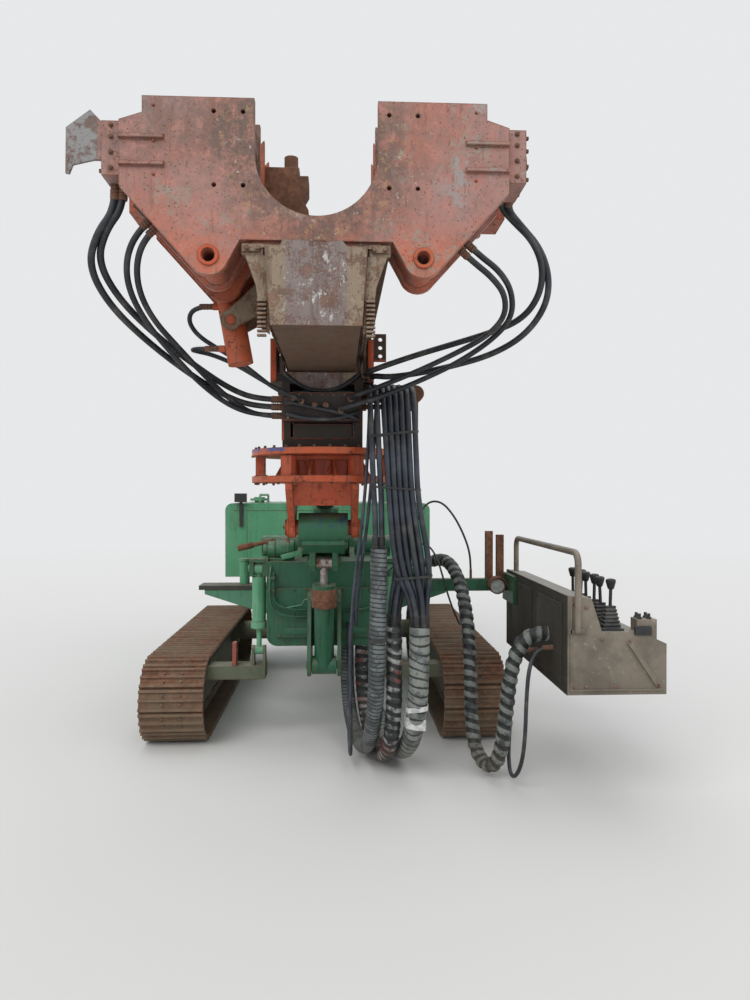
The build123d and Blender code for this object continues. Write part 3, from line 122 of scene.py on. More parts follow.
class Nodes:
    """The emptied node tree of a material or a world."""

    def __init__(self, owner):
        owner.use_nodes = True
        self.tree = owner.node_tree
        self.tree.nodes.clear()

    def add(self, kind, settings, *inputs, output=None, **named):
        """Add a node; settings come first, then the values or links of its sockets."""
        node = self.tree.nodes.new(kind if kind.startswith("Shader") else "ShaderNode" + kind)
        for key, value in settings.items():
            if key == "stops":
                self.set_stops(node.color_ramp, value)
            else:
                setattr(node, key, value)
        sockets = [s for s in node.inputs if s.enabled]
        for socket, value in list(zip(sockets, inputs)) + [(node.inputs[k], v) for k, v in named.items()]:
            if isinstance(value, Value):
                self.tree.links.new(value.socket, socket)
            elif value is not None:
                socket.default_value = value
        outputs = [s for s in node.outputs if s.enabled]
        if not outputs:
            return None
        return Value(self, node.outputs[output] if output else outputs[0])

    def set_stops(self, ramp, stops):
        while len(ramp.elements) < len(stops):
            ramp.elements.new(1.0)
        for element, (position, colour) in zip(ramp.elements, stops):
            element.position = position
            element.color = (*colour, 1.0)


class Finish(Nodes):
    """One procedural material: its patterns and the coats of colour laid over each other."""

    def __init__(self, name):
        self.material = bpy.data.materials.new(name)
        super().__init__(self.material)
        self.coords = self.add("TexCoord", {}, output="Object")
        self.colour = None
        self.bumps = []

    def noise(self, scale, detail=4.0, roughness=0.55, stretch=None):
        where = self.add("Mapping", {}, self.coords, Scale=stretch) if stretch else self.coords
        return self.add("TexNoise", {}, Vector=where, Scale=scale, Detail=detail, Roughness=roughness)

    def cells(self, scale):
        return self.add("TexVoronoi", {}, Vector=self.coords, Scale=scale)

    def axis(self, letter):
        """Place along one axis of the file's frame, in metres."""
        return self.add("SeparateXYZ", {}, self.coords, output=letter)

    def height(self):
        return self.axis("Z")

    def across(self):
        """Place to the right of the machine's middle, in metres."""
        return self.axis("X") - ORIGIN.x

    def attribute(self, name):
        """A number that the mesh carries on its points."""
        return self.add("Attribute", {"attribute_name": name}, output="Fac")

    def facing(self, letter):
        """How far a surface faces along one axis, from -1 to 1."""
        normal = self.add("NewGeometry", {}, output="Normal")
        return self.add("SeparateXYZ", {}, normal, output=letter)

    def edges(self, width, low=0.02):
        """1 on outer edges within a width, from how a rounded normal leaves the true one."""
        soft = self.add("Bevel", {"samples": 4}, width)
        true = self.add("NewGeometry", {}, output="Normal")
        same = self.add("VectorMath", {"operation": "DOT_PRODUCT"}, soft, true, output="Value")
        return (1 - same).above(low, 0.30)

    def mix(self, factor, first, second, blend="MIX"):
        def colour(value):
            return value if isinstance(value, Value) else (*value, 1.0)

        settings = {"data_type": "RGBA", "blend_type": blend}
        return self.add("Mix", settings, factor, colour(first), colour(second))

    def coat(self, where, colour, blend="MIX"):
        """Lay a colour over what is there already."""
        self.colour = self.mix(where, self.colour, colour, blend)

    def bump(self, height, distance, strength=1.0):
        self.bumps.append((height, distance, strength))

    def finish(self, roughness, metallic=0.0, edge_round=0.0, **fixed):
        """Close the material; fixed values go straight on the shader's own sockets."""
        normal = None
        if edge_round:
            normal = self.add("Bevel", {"samples": 4}, edge_round)
        for height, distance, strength in self.bumps:
            normal = self.add("Bump", {}, Strength=strength, Distance=distance, Height=height, Normal=normal)
        sockets = {key.replace("_", " "): value for key, value in fixed.items()}
        sockets |= {"Base Color": self.colour, "Roughness": roughness, "Metallic": metallic, "Normal": normal}
        self.add("OutputMaterial", {}, Surface=self.add("BsdfPrincipled", {}, **sockets))
        return self.material


# Finishes

RUST_DARK = (0.050, 0.024, 0.014)
RUST_MID = (0.150, 0.062, 0.030)
RUST_PALE = (0.290, 0.130, 0.070)
MUD = (0.150, 0.115, 0.075)
DUST = (0.330, 0.290, 0.230)
GREASE = (0.014, 0.013, 0.012)


def rust_colour(f, scale):
    """Brown blotches from fine to coarse."""
    blotch = f.noise(scale, 8.0, 0.7)
    return f.add("ValToRGB", {"stops": ((0.28, RUST_DARK), (0.50, RUST_MID), (0.74, RUST_PALE))}, blotch)


def blue_on_drum(f):
    """Old blue coat worn through on the drum at the boom's head."""
    place = f.height().above(1.400, 1.440) * f.axis("Y").below(-1.66, -1.60)
    worn = f.noise(19.0, 6.0, 0.7).above(0.51, 0.57)
    f.coat(place * worn * 0.7, (0.016, 0.075, 0.180))


def blue_on_rim(f):
    """Blue brush marks on the left of the turntable's upper rim."""
    across = f.across()
    level = f.height().above(1.838, 1.846) * f.height().below(1.868, 1.876)
    along = f.axis("Y") + 1.74
    rim = (across * across + along * along).power(0.5).above(0.385, 0.395)
    place = rim * across.below(-0.20, -0.17) * along.below(-0.05, 0.0) * level
    f.coat(place * f.noise(14.0, 5.0, 0.6).above(0.42, 0.52) * 0.85, (0.035, 0.110, 0.330))


def red_lug(f):
    """Red primer on the lashing lugs."""
    across = f.across().absolute()
    height = f.height()
    place = across.above(0.572, 0.577) * across.below(0.606, 0.611) * height.above(0.490, 0.500)
    f.coat(place * height.below(0.645, 0.655) * f.axis("Y").below(-1.10, -1.08), (0.270, 0.055, 0.036))


def black_lamp(f):
    """Black on the lamp and post in front of the hood."""
    f.coat(f.axis("Y").above(0.10, 0.15), (0.018, 0.018, 0.019))


def dark_deck(f):
    """Dark boards above the pale boxes that carry them."""
    f.coat(f.height().above(0.925, 0.929), (0.030, 0.036, 0.028))


def painted(name, paint, faded, rust=0.45, mud_top=0.5, grime_and_shade=0.5, gloss=0.42, touch=None):
    """Old machine paint: sun-faded, chipped at its edges, streaked, muddy near the ground."""
    f = Finish(name)
    wide = f.noise(1.7, 5.0, 0.6)
    patch = f.noise(12.0, 8.0, 0.74)
    grain = f.noise(70.0, 6.0, 0.74)
    mottle = f.noise(19.0, 8.0, 0.78)
    streak = f.noise(6.0, 7.0, 0.68, (5.0, 5.0, 0.55))
    top = f.facing("Z")
    fade = (wide.above(0.38, 0.66) * 0.7 + top.above(0.3, 0.95) * 0.3).clamped()
    f.colour = f.mix(fade, paint, faded)
    if touch:
        touch(f)
    f.coat(mottle.above(0.52, 0.56) * rust * 0.45, (0.62, 0.56, 0.50), "MULTIPLY")
    # Darkening along streaks: grime, and for the green paint set heavy as painted shade on the hull's front.
    f.coat(streak.above(0.52, 0.68) * grime_and_shade, (0.38, 0.35, 0.31), "MULTIPLY")
    edge = f.edges(0.010)
    chips = (patch * 0.45 + grain * 0.55 + edge * 0.16).above(0.645 - rust * 0.11, 0.670 - rust * 0.11)
    bare = (edge * 1.5 * patch.above(0.40, 0.52)).maximum(chips).clamped()
    f.coat(bare, rust_colour(f, 14.0))
    runs = f.noise(11.0, 5.0, 0.5, (6.0, 6.0, 0.35)).above(0.60, 0.78)
    f.coat(runs * rust, RUST_MID)
    dust = (top.above(0.35, 0.9) * patch.above(0.34, 0.62) * 0.42).clamped()
    f.coat(dust, DUST)
    splash = (f.height() + patch * 0.35).below(mud_top * 0.45, mud_top + 0.22) * 0.85
    f.coat(splash * grain.above(0.30, 0.58), MUD)
    f.bump(bare * -1.0 + grain * 0.25, 0.0012)
    rough = (gloss + patch * 0.16 + bare * 0.34 + splash * 0.3 + dust * 0.3).clamped()
    return f.finish(rough, edge_round=0.004, Specular_IOR_Level=0.45)


def clamp_paint():
    """Orange gone pink with age: mottled and gritty, brown by the throat, brighter on the lobes."""
    f = Finish("faded_orange_paint")
    wide = f.noise(2.3, 5.0, 0.6)
    patch = f.noise(8.0, 7.0, 0.68)
    grain = f.noise(90.0, 6.0, 0.72)
    mottle = f.noise(15.0, 9.0, 0.80)
    streak = f.noise(9.0, 7.0, 0.70, (4.0, 4.0, 0.45))
    across = f.across()
    up = f.height() - DRILL_Z * MM
    radius = (across * across + up * up).power(0.5)
    low = up.below(-0.46, -0.16)
    outer = across.absolute().above(0.42, 0.60)
    f.colour = f.mix(wide.above(0.36, 0.62), (0.350, 0.140, 0.102), (0.325, 0.188, 0.166))
    f.coat((low * patch.above(0.28, 0.55) * 0.9).clamped(), (0.480, 0.118, 0.055))
    f.coat(mottle.above(0.525, 0.560) * 0.55, (0.235, 0.140, 0.112))
    f.coat(mottle.below(0.425, 0.455) * 0.60, (0.430, 0.185, 0.140))
    lichen = f.noise(5.2, 6.0, 0.7).above(0.555, 0.600) * f.noise(48.0, 6.0, 0.75).above(0.45, 0.53)
    f.coat(lichen * 0.7, (0.262, 0.235, 0.190))
    primer = f.noise(4.6, 6.0, 0.68).above(0.585, 0.605) * outer * mottle.above(0.46, 0.50)
    f.coat(primer * 0.75, (0.300, 0.285, 0.265))
    left_of_throat = (across + 0.02).below(-0.36, -0.10) * up.above(-0.12, 0.06)
    throat = radius.below(0.255, 0.50) * 0.75 + left_of_throat * 0.45
    stain = throat * (patch * 0.8 + streak * 0.6 + mottle * 1.4).above(1.10, 1.55)
    f.coat((stain * 1.35).clamped(), (0.130, 0.078, 0.060))
    ochre = radius.below(0.30, 0.56) * f.noise(28.0, 8.0, 0.8).above(0.555, 0.590)
    f.coat(ochre * 0.7, (0.330, 0.205, 0.095))
    f.coat(streak.above(0.560, 0.640) * 0.55, (0.215, 0.085, 0.052))
    dots = f.cells(55.0).below(0.10, 0.22) * f.noise(20.0, 5.0, 0.6).above(0.40, 0.56)
    specks = dots.maximum(f.noise(64.0, 8.0, 0.82).above(0.590, 0.625)).clamped()
    edge = f.edges(0.010)
    bare = (edge * 1.4 * patch.above(0.38, 0.50)).maximum(specks * 0.8).clamped()
    f.coat(bare, rust_colour(f, 16.0))
    grease = f.noise(3.0, 4.0, 0.6).above(0.60, 0.75) * low * 0.6
    f.coat(grease, GREASE)
    pale = f.noise(40.0, 7.0, 0.78).above(0.620, 0.650) * radius.below(0.34, 0.66)
    f.coat(pale * 0.75, (0.50, 0.46, 0.42))
    bent_plate = across.below(-0.868, -0.862)
    steel = f.mix(mottle.above(0.47, 0.55), (0.235, 0.225, 0.220), (0.135, 0.085, 0.068))
    f.coat(bent_plate, steel)
    f.bump(bare * -1.0 + grain * 0.35 + mottle * 0.5, 0.0014)
    return f.finish((0.50 + patch * 0.18 + bare * 0.25).clamped(), edge_round=0.004)


def mast_paint():
    """Grey-brown plate with flecks of old paint; the underside is darker yellow-brown, partly rust and partly
    painted shade.
    """
    f = Finish("mast_paint")
    wide = f.noise(3.0, 5.0, 0.6)
    patch = f.noise(13.0, 7.0, 0.68)
    grain = f.noise(100.0, 6.0, 0.72)
    streak = f.noise(8.0, 6.0, 0.62, (4.0, 1.0, 0.6))
    under = f.facing("Z").below(-0.75, -0.35)
    front = f.facing("Y").below(-0.8, -0.4)
    f.colour = f.mix(wide.above(0.36, 0.64), (0.135, 0.090, 0.074), (0.215, 0.175, 0.155))
    across = f.across().absolute()
    f.coat(front * patch.above(0.30, 0.60) * 0.7, (0.235, 0.185, 0.180))
    ochre = front * (across.above(0.06, 0.19) + grain * 1.0).above(0.75, 1.15)
    f.coat(ochre * 0.7, (0.275, 0.205, 0.125))
    # Faces that point down go darker yellow-brown: rust colour with painted shade on the underside.
    f.coat(under * 0.85, (0.105, 0.060, 0.030))
    f.coat(streak.above(0.50, 0.70) * 0.65, (0.085, 0.046, 0.030))
    rust = (patch * 0.55 + grain * 0.45).above(0.500, 0.560)
    f.coat(rust * 0.75, rust_colour(f, 18.0))
    splash = f.noise(9.0, 4.0, 0.6).above(0.46, 0.54) * across.below(0.10, 0.17)
    white = f.noise(30.0, 8.0, 0.80, (1.4, 1.0, 0.8)).above(0.560, 0.590) * front * splash
    f.coat(white * 0.85, (0.58, 0.56, 0.53))
    edge = f.edges(0.010)
    f.coat(edge * patch.above(0.35, 0.5), RUST_MID)
    f.bump(rust * -0.8 + grain * 0.5 + white * 0.3, 0.0014)
    return f.finish((0.60 + patch * 0.18).clamped(), edge_round=0.004)


def cradle_paint():
    """Orange paint under near-black painted shade; the orange shows at the edges and on the flanks where hoses rub.
    """
    f = Finish("cradle_paint")
    wide = f.noise(3.2, 5.0, 0.6)
    patch = f.noise(11.0, 7.0, 0.68)
    grain = f.noise(90.0, 6.0, 0.7)
    edge = f.edges(0.012)
    orange = f.mix(grain.above(0.40, 0.62), (0.420, 0.085, 0.032), (0.190, 0.055, 0.028))
    flank = f.across().absolute().above(0.205, 0.219)
    rubbed = flank * f.noise(15.0, 9.0, 0.80, (1.0, 1.0, 0.6)).above(0.545, 0.60) * 0.55
    bare = (edge * patch.above(0.38, 0.50)).maximum(rubbed).clamped()
    # Near-black base: painted shade under the mast.
    f.colour = f.mix(wide.above(0.35, 0.65), (0.013, 0.010, 0.009), (0.034, 0.022, 0.016))
    f.coat(bare, orange)
    f.bump(grain, 0.0012)
    return f.finish((0.48 + patch * 0.25).clamped(), edge_round=0.004)


def rusty(name, polish=0.0, dark=0.0, mud_top=0.0, dust=0.0):
    """Bare steel gone brown, with rubbed edges."""
    f = Finish(name)
    grain = f.noise(90.0, 7.0, 0.75)
    patch = f.noise(12.0, 6.0, 0.65)
    f.colour = rust_colour(f, 22.0)
    f.coat(patch.above(0.45, 0.7) * (0.35 + dark), RUST_DARK)
    edge = f.edges(0.008, 0.03)
    rub = (edge * polish + patch.above(0.60, 0.8) * polish * 0.4).clamped()
    f.coat(rub, (0.30, 0.27, 0.24))
    if dust:
        f.coat(f.noise(5.0, 5.0, 0.65).above(0.38, 0.62) * dust, (0.170, 0.135, 0.085))
    if mud_top:
        splash = (f.height() + patch * 0.30).below(mud_top * 0.3, mud_top + 0.25)
        f.coat(splash * grain.above(0.36, 0.62) * 0.8, MUD)
    f.bump(grain, 0.0016, 0.8)
    rough = (0.78 - rub * 0.40 + grain * 0.1).clamped()
    return f.finish(rough, rub * 0.9, edge_round=0.004)


def chromed_rod():
    """Cylinder rod: smooth along its stroke, spotted with rust and oil."""
    f = Finish("rod_steel")
    patch = f.noise(26.0, 6.0, 0.7)
    film = f.noise(8.0, 4.0, 0.6)
    f.colour = f.mix(patch.above(0.50, 0.62), (0.34, 0.31, 0.28), RUST_MID)
    f.coat(film.above(0.5, 0.8) * 0.6, GREASE)
    f.bump(patch, 0.0004)
    return f.finish((0.30 + patch.above(0.48, 0.62) * 0.45).clamped(), patch.below(0.50, 0.62) * 0.85)


def greasy_black(name, base=(0.016, 0.017, 0.018), dust=0.35):
    """Rubber and oily black steel, greyed by dust on what faces up."""
    f = Finish(name)
    patch = f.noise(14.0, 6.0, 0.62)
    grain = f.noise(160.0, 4.0, 0.6)
    top = f.facing("Z")
    grey = ((top.above(0.0, 0.95) * 0.6 + 0.4) * patch.above(0.36, 0.72) * dust).clamped()
    f.colour = f.mix(grey, base, (0.21, 0.20, 0.18))
    f.bump(grain, 0.0005, 0.5)
    return f.finish((0.46 + grey * 0.6 + grain * 0.08).clamped(), Specular_IOR_Level=0.4)


def hose_finish(name, base, print_colour, dust):
    """Hydraulic hose with a faint lay line of dirt."""
    f = Finish(name)
    patch = f.noise(9.0, 5.0, 0.6)
    grain = f.noise(220.0, 3.0, 0.6)
    band = f.noise(3.0, 3.0, 0.5, (1.0, 1.0, 2.4))
    f.colour = f.mix(band.above(0.42, 0.68), base, print_colour)
    f.coat(patch.above(0.46, 0.76) * dust, (0.24, 0.22, 0.19))
    f.bump(grain, 0.0003, 0.6)
    return f.finish((0.40 + patch * 0.25).clamped(), Specular_IOR_Level=0.5)


def sleeve_finish(name, pale, dark, gap, share=0.5, red=0.0):
    """Hose sleeve: worn turns in two tones, a dark gap between them, mud low down."""
    f = Finish(name)
    patch = f.noise(10.0, 6.0, 0.68)
    grain = f.noise(120.0, 5.0, 0.6)
    ridge = f.attribute("ridge")
    f.colour = f.mix(patch.above(share - 0.06, share + 0.06), pale, dark)
    f.coat(f.noise(6.0, 4.0, 0.6).above(0.54, 0.60) * red, (0.190, 0.052, 0.038))
    f.coat(f.noise(30.0, 5.0, 0.6).above(0.56, 0.70) * 0.6, gap)
    f.coat(ridge.below(0.25, 0.70) * 0.95, gap)
    low = (f.height() + patch * 0.3).below(0.14, 0.46)
    f.coat(low * 0.5 * grain.above(0.3, 0.6), MUD)
    f.bump(grain, 0.0008, 0.5)
    return f.finish((0.46 + patch * 0.25).clamped(), Specular_IOR_Level=0.45)


def stainless_panel():
    """Dull sheet of the control stand with stains, scratches and runs."""
    f = Finish("console_metal")
    patch = f.noise(5.0, 6.0, 0.62)
    fine = f.noise(55.0, 5.0, 0.6, (1.0, 1.0, 0.25))
    scratch = f.noise(40.0, 3.0, 0.5, (1.0, 0.05, 1.0))
    streak = f.noise(7.0, 6.0, 0.6, (6.0, 6.0, 0.4))
    top = f.facing("Z")
    f.colour = f.mix(patch.above(0.36, 0.66), (0.225, 0.190, 0.148), (0.130, 0.110, 0.086))
    f.coat(streak.above(0.55, 0.75) * 0.5, (0.12, 0.09, 0.065))
    f.coat(scratch.above(0.62, 0.70) * 0.35, (0.42, 0.40, 0.36))
    f.coat(fine.above(0.64, 0.75) * 0.6, RUST_MID)
    f.coat(top.above(0.5, 0.95) * patch.above(0.3, 0.6) * 0.5, (0.34, 0.34, 0.33))
    low = (f.height() + patch * 0.25).below(0.62, 0.98)
    f.coat(low * 0.45, (0.085, 0.070, 0.052))
    # The inner side, facing the hood close by, goes nearly black: painted shade.
    inner = f.axis("X").below(0.942, 0.946)
    f.coat(inner * 0.88, (0.030, 0.027, 0.022))
    f.bump(fine, 0.0005, 0.5)
    rough = (0.44 + patch * 0.25 + streak * 0.08).clamped()
    return f.finish(rough, 0.35, edge_round=0.003)


def lens_glass():
    f = Finish("lamp_lens")
    ribs = f.add("TexWave", {"wave_type": "BANDS", "bands_direction": "X"}, Vector=f.coords, Scale=36.0)
    dirt = f.noise(30.0, 5.0, 0.6)
    f.colour = f.mix(dirt.above(0.4, 0.7), (0.52, 0.55, 0.52), (0.30, 0.31, 0.28))
    f.bump(ribs, 0.002, 0.8)
    return f.finish((0.12 + dirt.above(0.4, 0.7) * 0.3).clamped(), Coat_Weight=0.4)


def webbing(name, base):
    """Frayed strap tape."""
    f = Finish(name)
    weave = f.add("TexWave", {"wave_type": "BANDS", "bands_direction": "DIAGONAL"}, Vector=f.coords, Scale=220.0)
    patch = f.noise(22.0, 5.0, 0.6)
    f.colour = f.mix(patch.above(0.4, 0.7), base, tuple(c * 0.45 for c in base))
    f.bump(weave, 0.0008, 0.7)
    return f.finish(0.85)


# Each paint as it is in the shade and where the sun has faded it
GREEN = ((0.010, 0.084, 0.038), (0.026, 0.125, 0.062))
BOOM_GREEN = ((0.018, 0.120, 0.054), (0.050, 0.175, 0.090))
HOOD_GREEN = ((0.070, 0.270, 0.135), (0.140, 0.345, 0.205))
DECK_GREEN = ((0.045, 0.200, 0.105), (0.110, 0.270, 0.170))
TRACK_GREEN = ((0.060, 0.090, 0.052), (0.125, 0.140, 0.100))
ORANGE = ((0.470, 0.070, 0.019), (0.440, 0.115, 0.052))
OLD_ORANGE = ((0.420, 0.090, 0.038), (0.350, 0.135, 0.088))
RING_ORANGE = ((0.520, 0.085, 0.020), (0.500, 0.125, 0.050))

FINISH = {
    # The green's heavy streak darkening (0.75) is partly painted shade for the hull's front.
    "green": painted("green_paint", *GREEN, 0.44, 0.55, 0.75, 0.34),
    "boom": painted("boom_paint", *BOOM_GREEN, 0.36, 0.3, 0.5, 0.34, blue_on_drum),
    "hood": painted("hood_paint", *HOOD_GREEN, 0.34, 0.4, 0.45, 0.36),
    "fittings": painted("fittings_paint", *HOOD_GREEN, 0.34, 0.4, 0.45, 0.36, black_lamp),
    "decks": painted("deck_paint", *DECK_GREEN, 0.40, 0.4, 0.6, 0.45, dark_deck),
    "orange": painted("orange_paint", *ORANGE, 0.72, 0.1, 0.8, 0.40),
    "old_orange": painted("old_orange_paint", *OLD_ORANGE, 0.78, 0.1, 0.85, 0.46),
    "turntable": painted("turntable_paint", *RING_ORANGE, 0.46, 0.1, 0.75, 0.38, blue_on_rim),
    "faded_orange": clamp_paint(),
    "mast": mast_paint(),
    "cradle": cradle_paint(),
    "under": painted("undercarriage_paint", *TRACK_GREEN, 0.52, 0.62, 0.5, 0.55, red_lug),
    "track": rusty("track_steel", 0.65, 0.0, 0.35, 0.6),
    "rust": rusty("rust_steel", 0.25),
    "jaw": rusty("jaw_steel", 0.35, 0.2),
    "chain": rusty("chain_steel", 0.8, 0.4),
    "rod": chromed_rod(),
    "black": greasy_black("lever_black"),
    "knob": greasy_black("knob_black", (0.010, 0.010, 0.011), 0.15),
    "grille": greasy_black("grille_metal", (0.020, 0.022, 0.020), 0.5),
    "hose": hose_finish("hose_rubber", (0.010, 0.012, 0.015), (0.024, 0.028, 0.036), 0.30),
    "hose_blue": hose_finish("hose_rubber_worn", (0.014, 0.019, 0.028), (0.042, 0.052, 0.072), 0.30),
    "sleeve_strip": sleeve_finish("sleeve_strip", (0.135, 0.150, 0.150), (0.058, 0.066, 0.068),
                                  (0.012, 0.013, 0.014)),
    "sleeve_wide": sleeve_finish("sleeve_wide", (0.205, 0.220, 0.200), (0.085, 0.096, 0.092),
                                 (0.018, 0.020, 0.020), 0.54),
    "sleeve_patchy": sleeve_finish("sleeve_patchy", (0.300, 0.300, 0.285), (0.028, 0.030, 0.032),
                                   (0.010, 0.011, 0.012), 0.49, 0.7),
    "sleeve_console": sleeve_finish("sleeve_console", (0.165, 0.180, 0.160), (0.040, 0.046, 0.045),
                                    (0.007, 0.008, 0.009), 0.52),
    "console": stainless_panel(),
    "lens": lens_glass(),
    "strap": webbing("strap_white", (0.62, 0.62, 0.60)),
}

NODE_FINISH = {
    "green": ("chassis", "boom_bracket", "lift_barrel", "tilt_barrel", "arm_base", "console_arm"),
    "boom": ("boom",),
    "hood": ("hood", "hood_door_left", "hood_door_right", "stacks", "sway_cylinders"),
    "fittings": ("deck_fittings",),
    "decks": ("decks",),
    "orange": ("yoke", "breakout_barrel"),
    "old_orange": ("breakout_frame", "breakout_caps", "carriage", "rotary_head"),
    "turntable": ("slew_ring",),
    "faded_orange": ("clamp_frame", "clamp_caps"),
    "mast": ("mast", "mast_rails"),
    "cradle": ("cradle",),
    "under": ("track_frames", "idlers", "sprockets", "axle_beam"),
    "track": ("track_left", "track_right"),
    "rust": ("hose_bracket", "console_lamp"),
    "jaw": ("front_jaw_left", "front_jaw_right", "rear_jaw_left", "rear_jaw_right", "spindle"),
    "chain": ("feed_chains",),
    "rod": ("lift_rod", "tilt_rod", "breakout_rod"),
    "black": ("engine", "console_levers"),
    "grille": ("hood_grille",),
    "console": ("console_box", "handrail"),
}


def dress_nodes():
    """Give every carried-over node its finish."""
    finish_of = {node: FINISH[key] for key, group in NODE_FINISH.items() for node in group}
    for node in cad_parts:
        obj = bpy.data.objects.get(node)
        if obj is None or node not in finish_of:
            continue
        obj.data.materials.clear()
        obj.data.materials.append(finish_of[node])


# Piece making


CREASE = radians(38)
DOUBLES = 1e-5


def linked(name, data):
    """Object of the scene that shows a mesh, a lamp or a camera."""
    obj = bpy.data.objects.new(name, data)
    bpy.context.collection.objects.link(obj)
    return obj


def piece(name, mesh_maker, finish, body):
    """Object from a bmesh, riding on a body when one is given."""
    mesh = bpy.data.meshes.new(name)
    bm = bmesh.new()
    mesh_maker(bm)
    bmesh.ops.remove_doubles(bm, verts=bm.verts, dist=DOUBLES)
    bmesh.ops.recalc_face_normals(bm, faces=bm.faces)
    bm.to_mesh(mesh)
    bm.free()
    obj = linked(name, mesh)
    mesh.materials.append(FINISH[finish])
    mesh.shade_smooth()
    mesh.set_sharp_from_angle(angle=CREASE)
    if body:
        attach(obj, body)
    return obj


def turned(direction):
    """Rotation that takes +Z to a direction."""
    return Vector(direction).to_track_quat("Z", "Y").to_matrix().to_4x4()


def round_over(bm, edges, width):
    """Bevel edges to a small round."""
    bmesh.ops.bevel(bm, geom=list(edges), offset=width, segments=2, profile=0.5, affect="EDGES", material=-1)


def round_bar(bm, base, direction, radius, length, segments=20, bevel=0.0):
    """Closed round bar from a base point along a direction, its rims bevelled."""
    place = Matrix.Translation(base) @ turned(direction) @ Matrix.Translation((0, 0, length / 2))
    made = bmesh.ops.create_cone(bm, cap_ends=True, segments=segments, radius1=radius, radius2=radius,
                                 depth=length, matrix=place)
    if bevel:
        rims = {e for v in made["verts"] for e in v.link_edges if any(len(f.verts) > 4 for f in e.link_faces)}
        round_over(bm, rims, bevel)


def hex_head(bm, base, direction, size, height):
    """Hexagon head on its washer."""
    washer = height * 0.22
    round_bar(bm, base, direction, size * 0.72, washer, 16)
    round_bar(bm, base + Vector(direction).normalized() * washer, direction, size * 0.58, height * 0.78, 6,
              bevel=size * 0.06)


def heads(bm, places, direction, size, height):
    """Hexagon heads at places in millimetres."""
    for place in places:
        hex_head(bm, at(*place), direction, size, height)


def turns(count, first=0.0):
    """Angles of things spaced evenly round a ring."""
    return [first + 2 * pi * n / count for n in range(count)]


def slab(bm, low, high, bevel, turn=None):
    """Bevelled block between two corners."""
    place = Matrix.Translation((low + high) / 2) @ (turn or Matrix()) @ Matrix.Diagonal((*(high - low), 1))
    made = bmesh.ops.create_cube(bm, size=1.0, matrix=place)
    round_over(bm, {e for v in made["verts"] for e in v.link_edges}, bevel)


